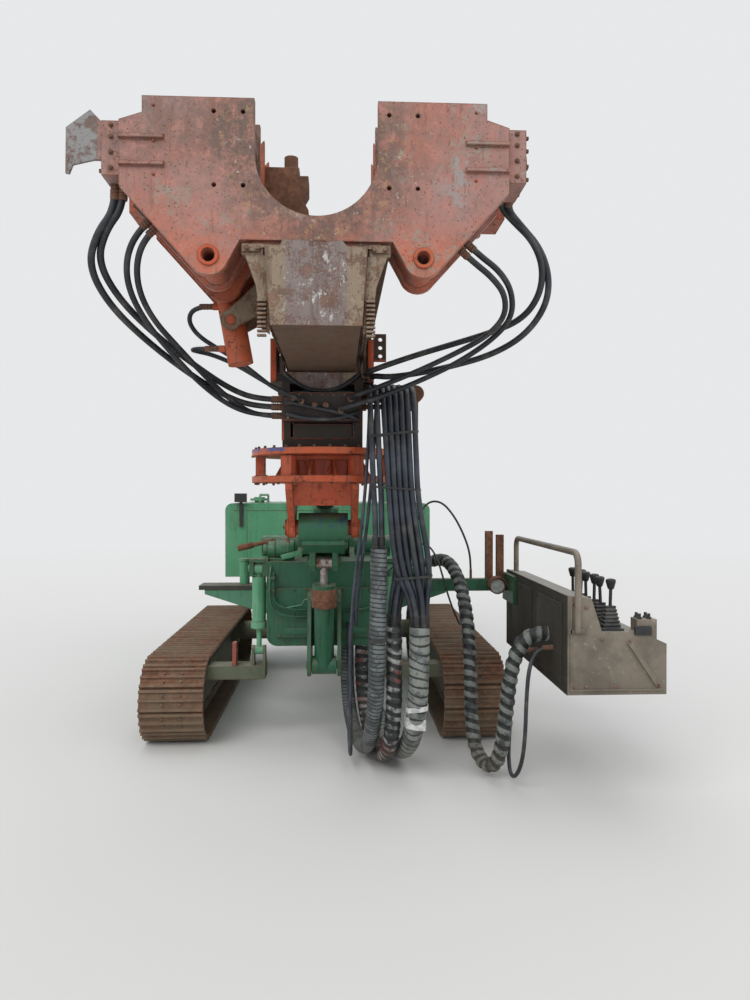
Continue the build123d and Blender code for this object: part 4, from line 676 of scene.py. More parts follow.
# Hoses: name of the CAD node, diameter and route points as in the part, in millimetres
HOSES = {
    "hoses_left": (
        (30.0, ((-825, -2955, 2872), (-825, -2955, 2775), (-905, -2940, 2680), (-955, -2890, 2560),
                (-905, -2780, 2430), (-790, -2620, 2310), (-640, -2400, 2195), (-480, -2170, 2105),
                (-340, -2045, 2075), (-210, -2045, 2075))),
        (30.0, ((-792, -2955, 2872), (-792, -2955, 2785), (-870, -2935, 2695), (-918, -2885, 2585),
                (-870, -2785, 2465), (-765, -2635, 2350), (-620, -2420, 2240), (-470, -2170, 2150),
                (-340, -2045, 2115), (-210, -2045, 2115))),
        (26.0, ((-674, -2955, 2741), (-734.8, -2955, 2686), (-790, -2925, 2590), (-800, -2865, 2480),
                (-760, -2765, 2370), (-685, -2620, 2265), (-590, -2400, 2150), (-470, -2165, 2060),
                (-340, -2045, 2030), (-210, -2045, 2030))),
        (26.0, ((-648, -2955, 2712.3), (-705.4, -2955, 2660.4), (-752, -2915, 2570), (-758, -2850, 2465),
                (-718, -2750, 2365), (-640, -2605, 2275), (-545, -2360, 2165), (-440, -2125, 2070),
                (-330, -2005, 2030), (-210, -2005, 2030))),
        (22.0, ((-495, -2555, 2480), (-575, -2555, 2480), (-620, -2520, 2430), (-590, -2450, 2370),
                (-500, -2370, 2320), (-405, -2310, 2270), (-325, -2275, 2210), (-245, -2245, 2150),
                (-150, -2180, 2112), (-150, -2085, 2112))),
        (22.0, ((-470, -2555, 2285), (-550, -2555, 2285), (-605, -2500, 2290), (-600, -2415, 2300),
                (-530, -2350, 2295), (-420, -2290, 2255), (-315, -2265, 2195), (-210, -2235, 2135),
                (-105, -2180, 2095), (-105, -2085, 2095))),
    ),
    "hoses_right": (
        (30.0, ((800, -2855, 2900), (800, -2755, 2900), (880, -2705, 2845), (970, -2705, 2760),
                (1020, -2695, 2645), (1015, -2655, 2525), (950, -2590, 2430), (820, -2500, 2385),
                (640, -2370, 2350), (480, -2280, 2315), (330, -2200, 2275), (228, -2110, 2250),
                (228, -2000, 2250))),
        (30.0, ((835, -2855, 2890), (835, -2750, 2890), (918, -2700, 2825), (1005, -2695, 2730),
                (1055, -2675, 2605), (1050, -2635, 2480), (970, -2560, 2360), (830, -2460, 2285),
                (640, -2350, 2245), (480, -2270, 2222), (345, -2195, 2215), (262, -2105, 2238),
                (262, -2000, 2238))),
        (26.0, ((584, -2955, 2641.5), (649.3, -2955, 2582.6), (740, -2905, 2535), (815, -2830, 2480),
                (835, -2740, 2405), (775, -2630, 2340), (650, -2500, 2285), (510, -2395, 2230),
                (370, -2310, 2180), (245, -2245, 2138), (150, -2190, 2112), (150, -2085, 2112))),
        (26.0, ((610, -2955, 2670.3), (680.5, -2955, 2606.7), (775, -2895, 2565), (850, -2810, 2500),
                (875, -2705, 2410), (810, -2590, 2335), (680, -2460, 2255), (530, -2360, 2190),
                (380, -2300, 2132), (230, -2262, 2082), (100, -2190, 2052), (100, -2085, 2052))),
    ),
    "hose_bundle": (
        (30.0, ((250, -1950, 2188), (250, -2075, 2188), (252, -2165, 2093), (262, -2165, 1830),
                (274, -2150, 1590), (283, -2120, 1450), (283, -2120, 1320))),
        (30.0, ((285, -1950, 2188), (285, -2075, 2188), (287, -2165, 2093), (298, -2168, 1830),
                (312, -2152, 1590), (317, -2120, 1450), (317, -2120, 1320))),
        (30.0, ((320, -1950, 2188), (320, -2075, 2188), (322, -2165, 2093), (338, -2170, 1830),
                (352, -2175, 1570), (384, -2150, 1220), (481, -2110, 1020), (481, -2110, 905))),
        (30.0, ((352, -1950, 2188), (352, -2075, 2188), (354, -2165, 2093), (368, -2172, 1830),
                (382, -2178, 1570), (416, -2155, 1220), (499, -2141, 1020), (499, -2141, 905))),
        (30.0, ((384, -1950, 2188), (384, -2075, 2188), (386, -2165, 2093), (398, -2168, 1830),
                (412, -2174, 1570), (452, -2148, 1220), (517, -2110, 1020), (517, -2110, 905))),
        (30.0, ((416, -1950, 2188), (416, -2075, 2188), (417, -2165, 2093), (428, -2172, 1830),
                (442, -2180, 1570), (492, -2156, 1220), (535, -2141, 1020), (535, -2141, 905))),
        (30.0, ((448, -1950, 2188), (448, -2075, 2188), (449, -2165, 2093), (458, -2168, 1830),
                (472, -2174, 1570), (533, -2150, 1220), (535, -2079, 1020), (535, -2079, 905))),
        (30.0, ((480, -1950, 2188), (480, -2075, 2188), (482, -2165, 2093), (492, -2170, 1830),
                (502, -2176, 1570), (574, -2145, 1220), (553, -2110, 1020), (553, -2110, 905))),
        (30.0, ((336, -1950, 2148), (336, -2045, 2148), (338, -2130, 2060), (352, -2138, 1830),
                (367, -2143, 1570), (400, -2108, 1220), (364, -2047, 1020), (364, -2047, 905))),
        (30.0, ((368, -1950, 2148), (368, -2045, 2148), (370, -2130, 2060), (382, -2136, 1830),
                (397, -2143, 1570), (436, -2106, 1220), (386, -2085, 1020), (386, -2085, 905))),
        (30.0, ((400, -1950, 2148), (400, -2045, 2148), (402, -2130, 2060), (412, -2138, 1830),
                (427, -2143, 1570), (474, -2106, 1220), (408, -2047, 1020), (408, -2047, 905))),
        (30.0, ((432, -1950, 2148), (432, -2045, 2148), (434, -2130, 2060), (443, -2136, 1830),
                (457, -2143, 1570), (514, -2104, 1220), (499, -2079, 1020), (499, -2079, 905))),
        (18.0, ((255, -1950, 2148), (255, -2040, 2148), (252, -2105, 2075), (244, -2122, 1880),
                (230, -2112, 1640), (208, -2090, 1410), (180, -2055, 1190), (160, -2000, 970),
                (153, -1945, 730), (155, -1895, 490), (158, -1840, 270), (160, -1760, 110),
                (155, -1640, 60), (150, -1520, 120), (148, -1430, 270), (147, -1375, 440),
                (148, -1340, 590), (149, -1325, 690), (150, -1285, 765), (150, -1205, 765))),
        (18.0, ((290, -1950, 2148), (290, -2040, 2148), (287, -2102, 2075), (276, -2120, 1880),
                (258, -2106, 1640), (238, -2080, 1420), (208, -2045, 1220), (192, -1985, 1050),
                (188, -1880, 920), (190, -1740, 850), (192, -1580, 825), (190, -1430, 840),
                (188, -1310, 880), (188, -1205, 880))),
    ),
    "hose_wraps": (
        (90.0, ((300, -2120, 1320), (300, -2120, 1100), (291, -2125, 850), (290, -2085, 590),
                (282, -1985, 375), (266, -1830, 205), (242, -1640, 105), (212, -1440, 78),
                (180, -1260, 115), (158, -1120, 215), (147, -1070, 345), (145, -1060, 480),
                (145, -1060, 620))),
        (110.0, ((517, -2110, 905), (517, -2110, 700), (511, -2085, 485), (498, -1990, 300),
                 (475, -1830, 160), (440, -1640, 90), (400, -1440, 80), (365, -1240, 110),
                 (325, -1085, 195), (280, -965, 315), (255, -905, 465), (255, -905, 620))),
        (90.0, ((386, -2060, 905), (386, -2060, 710), (389, -2045, 500), (382, -1975, 300),
                (368, -1850, 150), (345, -1680, 65), (315, -1480, 55), (285, -1290, 95),
                (258, -1150, 195), (245, -1090, 330), (240, -1075, 470), (240, -1075, 620))),
    ),
    "console_hoses": (
        (85.0, ((380, -860, 1040), (500, -860, 1040), (625, -865, 1090), (745, -900, 1150),
                (805, -1060, 1170), (845, -1215, 1120), (870, -1370, 1000), (880, -1510, 830),
                (880, -1600, 630), (874, -1650, 420), (874, -1690, 230), (892, -1750, 100),
                (930, -1850, 60), (968, -1940, 100), (992, -1990, 230), (1005, -2015, 410),
                (1020, -2030, 590), (1050, -2040, 740), (1120, -2045, 850), (1230, -2045, 850))),
        (22.0, ((1230, -2150, 795), (1150, -2150, 795), (1098, -2152, 705), (1082, -2155, 520),
                (1080, -2145, 330), (1070, -2110, 160), (1050, -2040, 60), (1040, -1960, 55),
                (1045, -1900, 140), (1060, -1870, 300), (1075, -1858, 480), (1100, -1852, 640),
                (1155, -1850, 720), (1230, -1850, 720))),
    ),
    "console_cables": (
        (12.0, ((350, -1180, 1060), (350, -1255, 1060), (400, -1330, 1110), (480, -1370, 1210),
                (570, -1380, 1300), (660, -1370, 1290), (720, -1340, 1190), (760, -1310, 1060),
                (800, -1290, 930), (850, -1260, 810), (890, -1190, 740), (905, -1110, 770),
                (900, -1055, 865), (900, -1055, 960))),
        (14.0, ((620, -1000, 1110), (620, -1000, 1200), (605, -1010, 1330), (625, -1030, 1460),
                (690, -1050, 1560), (780, -1065, 1560), (860, -1070, 1470), (925, -1065, 1350),
                (970, -1055, 1230), (980, -1055, 1130), (980, -1055, 1040))),
    ),
}


def route_line(name, points):
    """Smooth line of a route, read from a NURBS spline with its points."""
    curve = bpy.data.curves.new(name + "_line", "CURVE")
    curve.dimensions = "3D"
    curve.resolution_u = 8
    spline = curve.splines.new("NURBS")
    spline.points.add(len(points) - 1)
    for control, point in zip(spline.points, points):
        control.co = (*at(*point), 1.0)
    spline.order_u = 3
    spline.use_endpoint_u = True
    holder = linked(name + "_line", curve)
    mesh = bpy.data.meshes.new_from_object(holder)
    line = [v.co.copy() for v in mesh.vertices]
    bpy.data.objects.remove(holder)
    bpy.data.curves.remove(curve)
    bpy.data.meshes.remove(mesh)
    return line


def sweep_ring(bm, line, radius, segments=14):
    """Tube along a line: a circle carried by a frame that doesn't twist."""
    direction = (line[1] - line[0]).normalized()
    side = direction.orthogonal().normalized()
    rings = []
    for n, point in enumerate(line):
        ahead = line[min(n + 1, len(line) - 1)] - line[max(n - 1, 0)]
        turn = direction.rotation_difference(ahead.normalized())
        side = (turn @ side).normalized()
        direction = ahead.normalized()
        turned_side = Matrix((side, direction.cross(side), direction)).transposed().to_4x4()
        place = Matrix.Translation(point) @ turned_side
        made = bmesh.ops.create_circle(bm, segments=segments, radius=radius, matrix=place)
        rings.append(made["verts"])
    edges = [[e for v in ring for e in v.link_edges] for ring in rings]
    for first, second in zip(edges, edges[1:]):
        bmesh.ops.bridge_loops(bm, edges=list(set(first)) + list(set(second)))
    bmesh.ops.holes_fill(bm, edges=list(set(edges[0]) | set(edges[-1])), sides=segments)


def bent_rod(bm, points, radius, segments):
    """Rod or pipe through points in millimetres."""
    sweep_ring(bm, [at(*p) for p in points], radius, segments)


def resampled(line, step):
    """Points every step along a line."""
    out = [line[0]]
    spare = 0.0
    for first, second in zip(line, line[1:]):
        run = (second - first).length
        place = step - spare
        while place <= run:
            out.append(first.lerp(second, place / run))
            place += step
        spare = (spare + run) % step
    return out + [line[-1]]


# Points round a sleeve, rings to each of its turns, and the share of a turn that its edge slopes over
GUARD_SIDES = 20
GUARD_STEPS = 10
GUARD_SLOPE = 0.18


def spiral_guard(bm, line, radius, pitch, depth, gap, wobble):
    """Sleeve of wound strip; its ridge attribute is 0 in the gap between two turns and 1 on a turn."""
    ridge = bm.verts.layers.float.new("ridge")
    line = resampled(line, pitch / GUARD_STEPS)
    sweep_ring(bm, line, radius, GUARD_SIDES)
    for number, vert in enumerate(bm.verts):
        n, k = divmod(number, GUARD_SIDES)
        turn = 2 * pi * k / GUARD_SIDES
        drift = wobble * (sin(n * 0.043 + turn) + 0.6 * sin(n * 0.117 + 2 * turn))
        phase = (n / GUARD_STEPS + k / GUARD_SIDES + drift) % 1
        height = min(1.0, max(0.0, (abs(phase - 0.5) * 2 - gap) / GUARD_SLOPE))
        vert.co = line[n] + (vert.co - line[n]) * (1 - depth * (1 - height) / radius)
        vert[ridge] = height


def hose_end(name, line, radius, body, finish):
    """Crimped ferrule and hexagon at the start of a hose."""
    direction = (line[1] - line[0]).normalized()

    def shape(bm):
        round_bar(bm, line[0] - direction * 0.001, direction, radius * 1.30, 0.018, 6, bevel=0.0015)
        round_bar(bm, line[0] + direction * 0.017, direction, radius * 1.22, 0.045, 18, bevel=0.002)
        for along in (0.024, 0.036, 0.048):
            crimp = line[0] + direction * along
            round_bar(bm, crimp, direction, radius * 1.30, 0.005, 18, bevel=0.001)

    return piece(name, shape, finish, body)


# node: (body at the start, body at the end), finish, (two places; a hose end past halfway from the first to the
# second rides on the body at the end)
HOSE_RIDES = {
    "hoses_left": (("mast", "cradle"), "hose", ((0, -2540, 0), (0, -2095, 0))),
    "hoses_right": (("mast", "cradle"), "hose", ((0, -2700, 0), (0, -2095, 0))),
    "hose_bundle": (("yoke", "boom"), "hose_blue", ((0, 0, 2100), (0, 0, 1000))),
    "hose_wraps": (("boom", "root"), "hose", ((0, -2050, 0), (0, -1150, 0))),
    "console_hoses": (("root", "console"), "hose", ((560, -1000, 0), (1200, -2150, 0))),
    "console_cables": (("root", "root"), "hose", ((620, 0, 0), (860, 0, 0))),
}
# sleeve: pitch, depth of the gap, share of the gap, wobble, finish
GUARDS = {
    "hose_wraps_1": (0.024, 0.0016, 0.20, 0.02, "sleeve_strip"),
    "hose_wraps_2": (0.046, 0.0024, 0.16, 0.16, "sleeve_wide"),
    "hose_wraps_3": (0.054, 0.0034, 0.44, 0.10, "sleeve_patchy"),
    "console_hoses_1": (0.060, 0.0060, 0.40, 0.05, "sleeve_console"),
}


def share_along(point, start, end):
    """How far along from start to end a point lies: 0 at the start and 1 at the end."""
    way = end - start
    return (point - start).dot(way) / way.dot(way)


def make_hoses():
    """Each free hose as a tube of its own; returns their lines and radii."""
    lines = {}
    for node, routes in HOSES.items():
        bodies, finish, (start, end) = HOSE_RIDES[node]
        still = bodies[0] if bodies[0] == bodies[1] else None
        for n, (diameter, points) in enumerate(routes):
            name = f"{node}_{n + 1}"
            line = route_line(name, points)
            radius = diameter * MM / 2
            if name in GUARDS:
                *winding, sleeve = GUARDS[name]
                tube = piece(name, lambda bm: spiral_guard(bm, line, radius, *winding), sleeve, still)
            else:
                tube = piece(name, lambda bm: sweep_ring(bm, line, radius), finish, still)
                steel = "black" if node == "hose_bundle" else "chain"
                for letter, run in (("a", line), ("b", line[::-1])):
                    body = bodies[share_along(run[0], at(*start), at(*end)) > 0.5]
                    hose_end(f"{name}_fitting_{letter}", run, radius, body, steel)
            if not still:
                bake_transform(tube)
            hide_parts(node)
            radius * 2
            "limp" if node == "hose_wraps" else "medium"
            lines[name] = (line, radius)
    return lines


def level_loop(bm, centre, half_x, half_y, segments, swell=0.0, tilt=0.0):
    """Closed loop round a centre: round at swell 0, square at 1; its edges."""
    made = bmesh.ops.create_circle(bm, segments=segments, radius=1.0)["verts"]
    for vert in made:
        c, s, _ = vert.co
        grow = (1 / max(abs(c), abs(s))) ** swell
        vert.co = Vector(centre) + Vector((half_x * c * grow, half_y * s * grow, tilt * c * grow))
    return list({e for v in made for e in v.link_edges})


def loop_band(bm, centre, half_x, half_y, width, thick, tilt=0.0):
    """Strap round an oblong bundle: a flat band that stands upright on its loop."""
    corners = ((-width / 2, 0.0), (width / 2, 0.0), (width / 2, thick), (-width / 2, thick))
    loops = [level_loop(bm, Vector(centre) + Vector((0, 0, level)), half_x + grow, half_y + grow, 32, 0.5, tilt)
             for level, grow in corners]
    for first, second in zip(loops, loops[1:] + loops[:1]):
        bmesh.ops.bridge_loops(bm, edges=first + second)


def crossing(line, level):
    """Where a hose line first goes down through a height."""
    for first, second in zip(line, line[1:]):
        if second.z <= level < first.z:
            return first.lerp(second, (first.z - level) / (first.z - second.z))
    return None


def make_ties(lines):
    """Cable ties and tape, each round the hoses that pass its height."""
    bands = (
        # name, hoses, height, band width, tilt, finish, body
        ("bundle_tie_top", "hose_bundle", 1925, 13, 14, "black", "yoke"),
        ("bundle_tie_middle", "hose_bundle", 1640, 11, -10, "black", "yoke"),
        ("bundle_tie_low", "hose_bundle", 1170, 13, 8, "black", "boom"),
        ("sleeve_band_upper", "hose_wraps_2", 462, 26, 6, "strap", "boom"),
        ("sleeve_band", "hose_wraps_2", 372, 60, -10, "strap", "boom"),
        ("sleeve_tie", "hose_wraps_1", 838, 22, 3, "black", "boom"),
    )
    for name, group, level, width, tilt, finish, body in bands:
        held = [(crossing(line, level * MM), radius) for hose, (line, radius) in lines.items()
                if hose.startswith(group) and hose not in ("hose_bundle_13", "hose_bundle_14")]
        held = [(place, radius) for place, radius in held if place]
        low = [min(place[k] - radius for place, radius in held) for k in (0, 1)]
        high = [max(place[k] + radius for place, radius in held) for k in (0, 1)]
        middle = ((low[0] + high[0]) / 2, (low[1] + high[1]) / 2, level * MM)
        half = [(high[k] - low[k]) / 2 + 0.002 for k in (0, 1)]
        piece(name, lambda bm: loop_band(bm, middle, *half, width * MM, 0.003, tilt * MM), finish, body)


# Tracks

AXLE_Y = 1100.0
TRACK_X = 960.0
TRACK_R = 275.0
PATH_R = 255.0
SHOES = 42


def shoe_place(share):
    """Place and outward direction on the shoes' loop, in millimetres."""
    straight = 2 * AXLE_Y
    arc = pi * PATH_R
    run = (share % 1) * 2 * (straight + arc)
    if run < straight:
        return (run - AXLE_Y, TRACK_R + PATH_R), (0, 1)
    run -= straight
    if run < arc:
        turn = run / PATH_R
        return (AXLE_Y + PATH_R * sin(turn), TRACK_R + PATH_R * cos(turn)), (sin(turn), cos(turn))
    run -= arc
    if run < straight:
        return (AXLE_Y - run, TRACK_R - PATH_R), (0, -1)
    run -= straight
    turn = run / PATH_R
    return (-AXLE_Y - PATH_R * sin(turn), TRACK_R - PATH_R * cos(turn)), (-sin(turn), -cos(turn))


def shoe_bolts(bm, side):
    """Four bolt heads on every shoe, two in each gap between its bars."""
    for shoe in range(SHOES):
        for gap in (0.325, 0.70):
            (y, z), (dy, dz) = shoe_place((shoe + gap) / SHOES)
            if z < 60:
                continue
            for x in (-55, 55):
                base = at(side * TRACK_X + x, y - dy * 2, z - dz * 2)
                hex_head(bm, base, (0, dy, dz), 0.017, 0.012)


def roller_caps(bm, side):
    """Hub covers with their bolts on the wheels."""
    for y in (-AXLE_Y, AXLE_Y):
        for face in SIDES:
            x = side * TRACK_X + face * 105
            base = at(x, y, TRACK_R)
            round_bar(bm, base, (face, 0, 0), 0.046, 0.012, 28, bevel=0.003)
            for turn in turns(6):
                place = base + Vector((face * 0.011, cos(turn) * 0.033, sin(turn) * 0.033))
                hex_head(bm, place, (face, 0, 0), 0.009, 0.008)


# Chains


def chain_links(bm, side):
    """Roller chain round the feed sprockets of one side."""
    front, rear, level, reach = -2980.0, 3100.0, 2410.0, 44.0
    straight = rear - front
    arc = pi * reach
    total = 2 * (straight + arc)
    count = 250

    def place(run):
        run %= total
        if run < straight:
            return Vector((0, front + run, level + reach)), 0.0
        run -= straight
        if run < arc:
            turn = run / reach
            return Vector((0, rear + reach * sin(turn), level + reach * cos(turn))), -turn
        run -= arc
        if run < straight:
            return Vector((0, rear - run, level - reach)), pi
        run -= straight
        turn = run / reach
        return Vector((0, front - reach * sin(turn), level - reach * cos(turn))), pi - turn

    step = total / count
    for n in range(count):
        (one, _), (two, _) = place(n * step), place((n + 1) * step)
        middle = (one + two) / 2
        lean = (two - one).normalized()
        turn = Matrix((Vector((1, 0, 0)), lean, Vector((1, 0, 0)).cross(lean))).transposed().to_4x4()
        out = 9.5 if n % 2 else 6.0
        for x in (-out, out):
            where = Matrix.Translation(at(side * 215 + x, middle.y, middle.z)) @ turn
            shape = where @ Matrix.Diagonal((1, 0.034, 0.0085, 1)) @ Matrix.Rotation(pi / 2, 4, "Y")
            bmesh.ops.create_cone(bm, cap_ends=True, segments=8, radius1=1, radius2=1, depth=0.003, matrix=shape)
        pin = at(side * 215, one.y, one.z)
        round_bar(bm, pin - Vector((0.0125, 0, 0)), (1, 0, 0), 0.0055, 0.025, 8)


# Clamps and mast


def plate(bm, outline, y, thick, bevel=0.002):
    """Plate across the machine from (X, Z) points, its front at y, in millimetres."""
    verts = [bm.verts.new(at(x, y, z)) for x, z in outline]
    face = bm.faces.new(verts)
    made = bmesh.ops.extrude_face_region(bm, geom=[face])
    moved = [v for v in made["geom"] if isinstance(v, bmesh.types.BMVert)]
    bmesh.ops.translate(bm, verts=moved, vec=(0, thick * MM, 0))
    round_over(bm, {e for v in verts + moved for e in v.link_edges}, bevel)


def ring_boss(bm, centre, inner, outer, height, direction=FORWARD):
    """Raised collar round a hole: an L-shaped section turned about the hole's axis."""
    start = Vector((inner, 0, 0))
    section = [start, Vector((outer, 0, 0)), Vector((outer * 0.97, 0, height)), Vector((inner * 1.04, 0, height))]
    place = Matrix.Translation(centre) @ turned(direction)
    verts = [bm.verts.new(v) for v in section]
    edges = [bm.edges.new((verts[k], verts[(k + 1) % 4])) for k in range(4)]
    made = bmesh.ops.spin(bm, geom=verts + edges, cent=(0, 0, 0), axis=(0, 0, 1), dvec=(0, 0, 0), angle=2 * pi,
                          steps=32, use_merge=True)
    spun = set(verts)
    grown = True
    while grown:
        more = {e.other_vert(v) for v in spun for e in v.link_edges} - spun
        grown = bool(more)
        spun |= more
    bmesh.ops.transform(bm, matrix=place, verts=list(spun))


def make_clamp_details():
    def caps(bm):
        for side in SIDES:
            for y in (-3032, -2878):
                heads(bm, [(side * 850, y, z) for z in (2896, 2950, 3012, 3064)], (side, 0, 0), 0.016, 0.014)
            heads(bm, [(side * 812, -3055, z) for z in (2900, 2962, 3024, 3070)], FORWARD, 0.014, 0.010)
            heads(bm, [(side * 862, -2955 + 40 * cos(t), 2972 + 40 * sin(t)) for t in (0.4, 1.97, 3.54, 5.11)],
                  (side, 0, 0), 0.010, 0.009)

    def front(bm):
        for side in SIDES:
            ring_boss(bm, at(side * 428, CLAMP_FRONT, 2555), 0.0262, 0.043, 0.007)
            heads(bm, [(side * x, CLAMP_FRONT, z) for x, z in ((640, 3140), (640, 3000), (640, 2868))], FORWARD,
                  0.009, 0.007)

    def welds(bm):
        for side in SIDES:
            for z in (DRILL_Z - 53, DRILL_Z + 53):
                for edge in (-9, 9):
                    bead = [at(side * x, -3082, z + edge + 0.8 * sin(x * 0.35)) for x in range(598, 778, 6)]
                    sweep_ring(bm, bead, 0.0035, 6)

    def ears(bm):
        for side in SIDES:
            x0, x1 = sorted((side * 208, side * 294))
            slab(bm, at(x0, -3104, 2548), at(x1, -3082, 2596), 0.004)
            slab(bm, at(x0 + 12, -3118, 2560), at(x1 - 12, -3103, 2584), 0.003)
            heads(bm, [(side * 228, -3118, 2572), (side * 272, -3118, 2572)], FORWARD, 0.013, 0.011)
            horn = [(side * x, z) for x, z in ((198, 2550), (282, 2550), (262, 2498), (238, 2430), (228, 2350),
                                              (226, 2270), (184, 2240), (186, 2300))]
            plate(bm, horn, -3104, 18)
            for n in range(9):
                z = 2228 + n * 17
                x0, x1 = sorted((side * 196, side * 232))
                slab(bm, at(x0, -3124, z), at(x1, -3104, z + 9), 0.0015)

    piece("clamp_cap_bolts", caps, "rust", "mast")
    piece("clamp_front_bosses", front, "orange", "mast")
    piece("clamp_weld_beads", welds, "faded_orange", "mast")
    piece("mast_nose_ears", ears, "mast", "mast")


def make_cradle_details():
    def gusset(bm):
        plate(bm, [(-214, 2268), (214, 2268), (150, 2212), (60, 2158), (-60, 2158), (-150, 2212)], -2016, 14, 0.003)

    # Black sheet at the back of the cradle's hollow: painted shade for the dark inside.
    def shade_sheet(bm):
        slab(bm, at(-172, -1712, 1925), at(172, -1702, 2202), 0.003)

    def strips(bm):
        for side in SIDES:
            x0, x1 = sorted((side * 247, side * 278))
            slab(bm, at(x0, -2008, 2218), at(x1, -2000.4, 2447), 0.002)
        slab(bm, at(277, -2012, 2332), at(346, -2000.4, 2340), 0.002)
        slab(bm, at(-219, -2012, 1900), at(-206, -2000.4, 2130), 0.002)

    def manifold(bm):
        for x in range(-180, 181, 60):
            heads(bm, [(x, MANIFOLD_FRONT, 2016), (x, MANIFOLD_FRONT, 2136)], FORWARD, 0.010, 0.009)
        for x in (-40, 20):
            round_bar(bm, at(x, MANIFOLD_FRONT, 2078), FORWARD, 0.017, 0.035, 6, bevel=0.002)
            round_bar(bm, at(x, -2119, 2078), FORWARD, 0.011, 0.028, 14, bevel=0.002)
        slab(bm, at(-196, -2095, 2084), at(-120, -2084.5, 2118), 0.003)

    def jumpers(bm):
        runs = (
            [(-190, -2100, 2098), (-150, -2112, 2092), (-60, -2116, 2070), (40, -2116, 2052), (130, -2110, 2030),
             (190, -2092, 2006)],
            [(-188, -2096, 2036), (-120, -2108, 2016), (-20, -2112, 2004), (80, -2110, 2008), (150, -2104, 2026),
             (196, -2090, 2050)],
            [(-206, -2030, 2262), (-152, -2034, 2212), (-62, -2036, 2164), (62, -2036, 2164), (152, -2034, 2212),
             (206, -2030, 2262)],
        )
        for points in runs:
            sweep_ring(bm, route_line("jumper", points), 0.011, 12)

    piece("cradle_shade_plate", shade_sheet, "black", "cradle")
    piece("cradle_gusset", gusset, "mast", "cradle")
    piece("cradle_shoe_faces", strips, "orange", "cradle")
    piece("manifold_fittings", manifold, "chain", "cradle")
    piece("manifold_jumpers", jumpers, "hose", "cradle")


def make_ring_details():
    def lower(bm):
        for turn in turns(24, pi / 24):
            x, y = 392 * cos(turn), RING_Y + 392 * sin(turn)
            hex_head(bm, at(x, y, 1704), UP, 0.014, 0.012)
            hex_head(bm, at(x, y, 1674), DOWN, 0.014, 0.012)

    def upper(bm):
        for turn in turns(30):
            x, y = 392 * cos(turn), RING_Y + 392 * sin(turn)
            hex_head(bm, at(x, y, 1862), UP, 0.014, 0.014)
        for turn in turns(3, 0.9):
            x, y = 413 * cos(turn), RING_Y + 413 * sin(turn)
            round_bar(bm, at(x, y, 1831), (cos(turn), sin(turn), 0), 0.007, 0.016, 10)

    def pins(bm):
        for side in SIDES:
            base = at(side * 213, -1700, 1415)
            round_bar(bm, base, (side, 0, 0), 0.046, 0.010, 30, bevel=0.003)
            round_bar(bm, base + Vector((side * 0.009, 0, 0)), (side, 0, 0), 0.010, 0.014, 12, bevel=0.002)
            x0, x1 = sorted((side * 200, side * 212))
            slab(bm, at(x0, -1728, 1330), at(x1, -1672, 1360), 0.003)
            heads(bm, [(side * 212, -1712, 1345), (side * 212, -1688, 1345)], (side, 0, 0), 0.009, 0.008)

    piece("turntable_bolts_lower", lower, "rust", "yoke")
    piece("turntable_bolts_upper", upper, "rust", "cradle")
    piece("yoke_pin_ends", pins, "rust", "yoke")


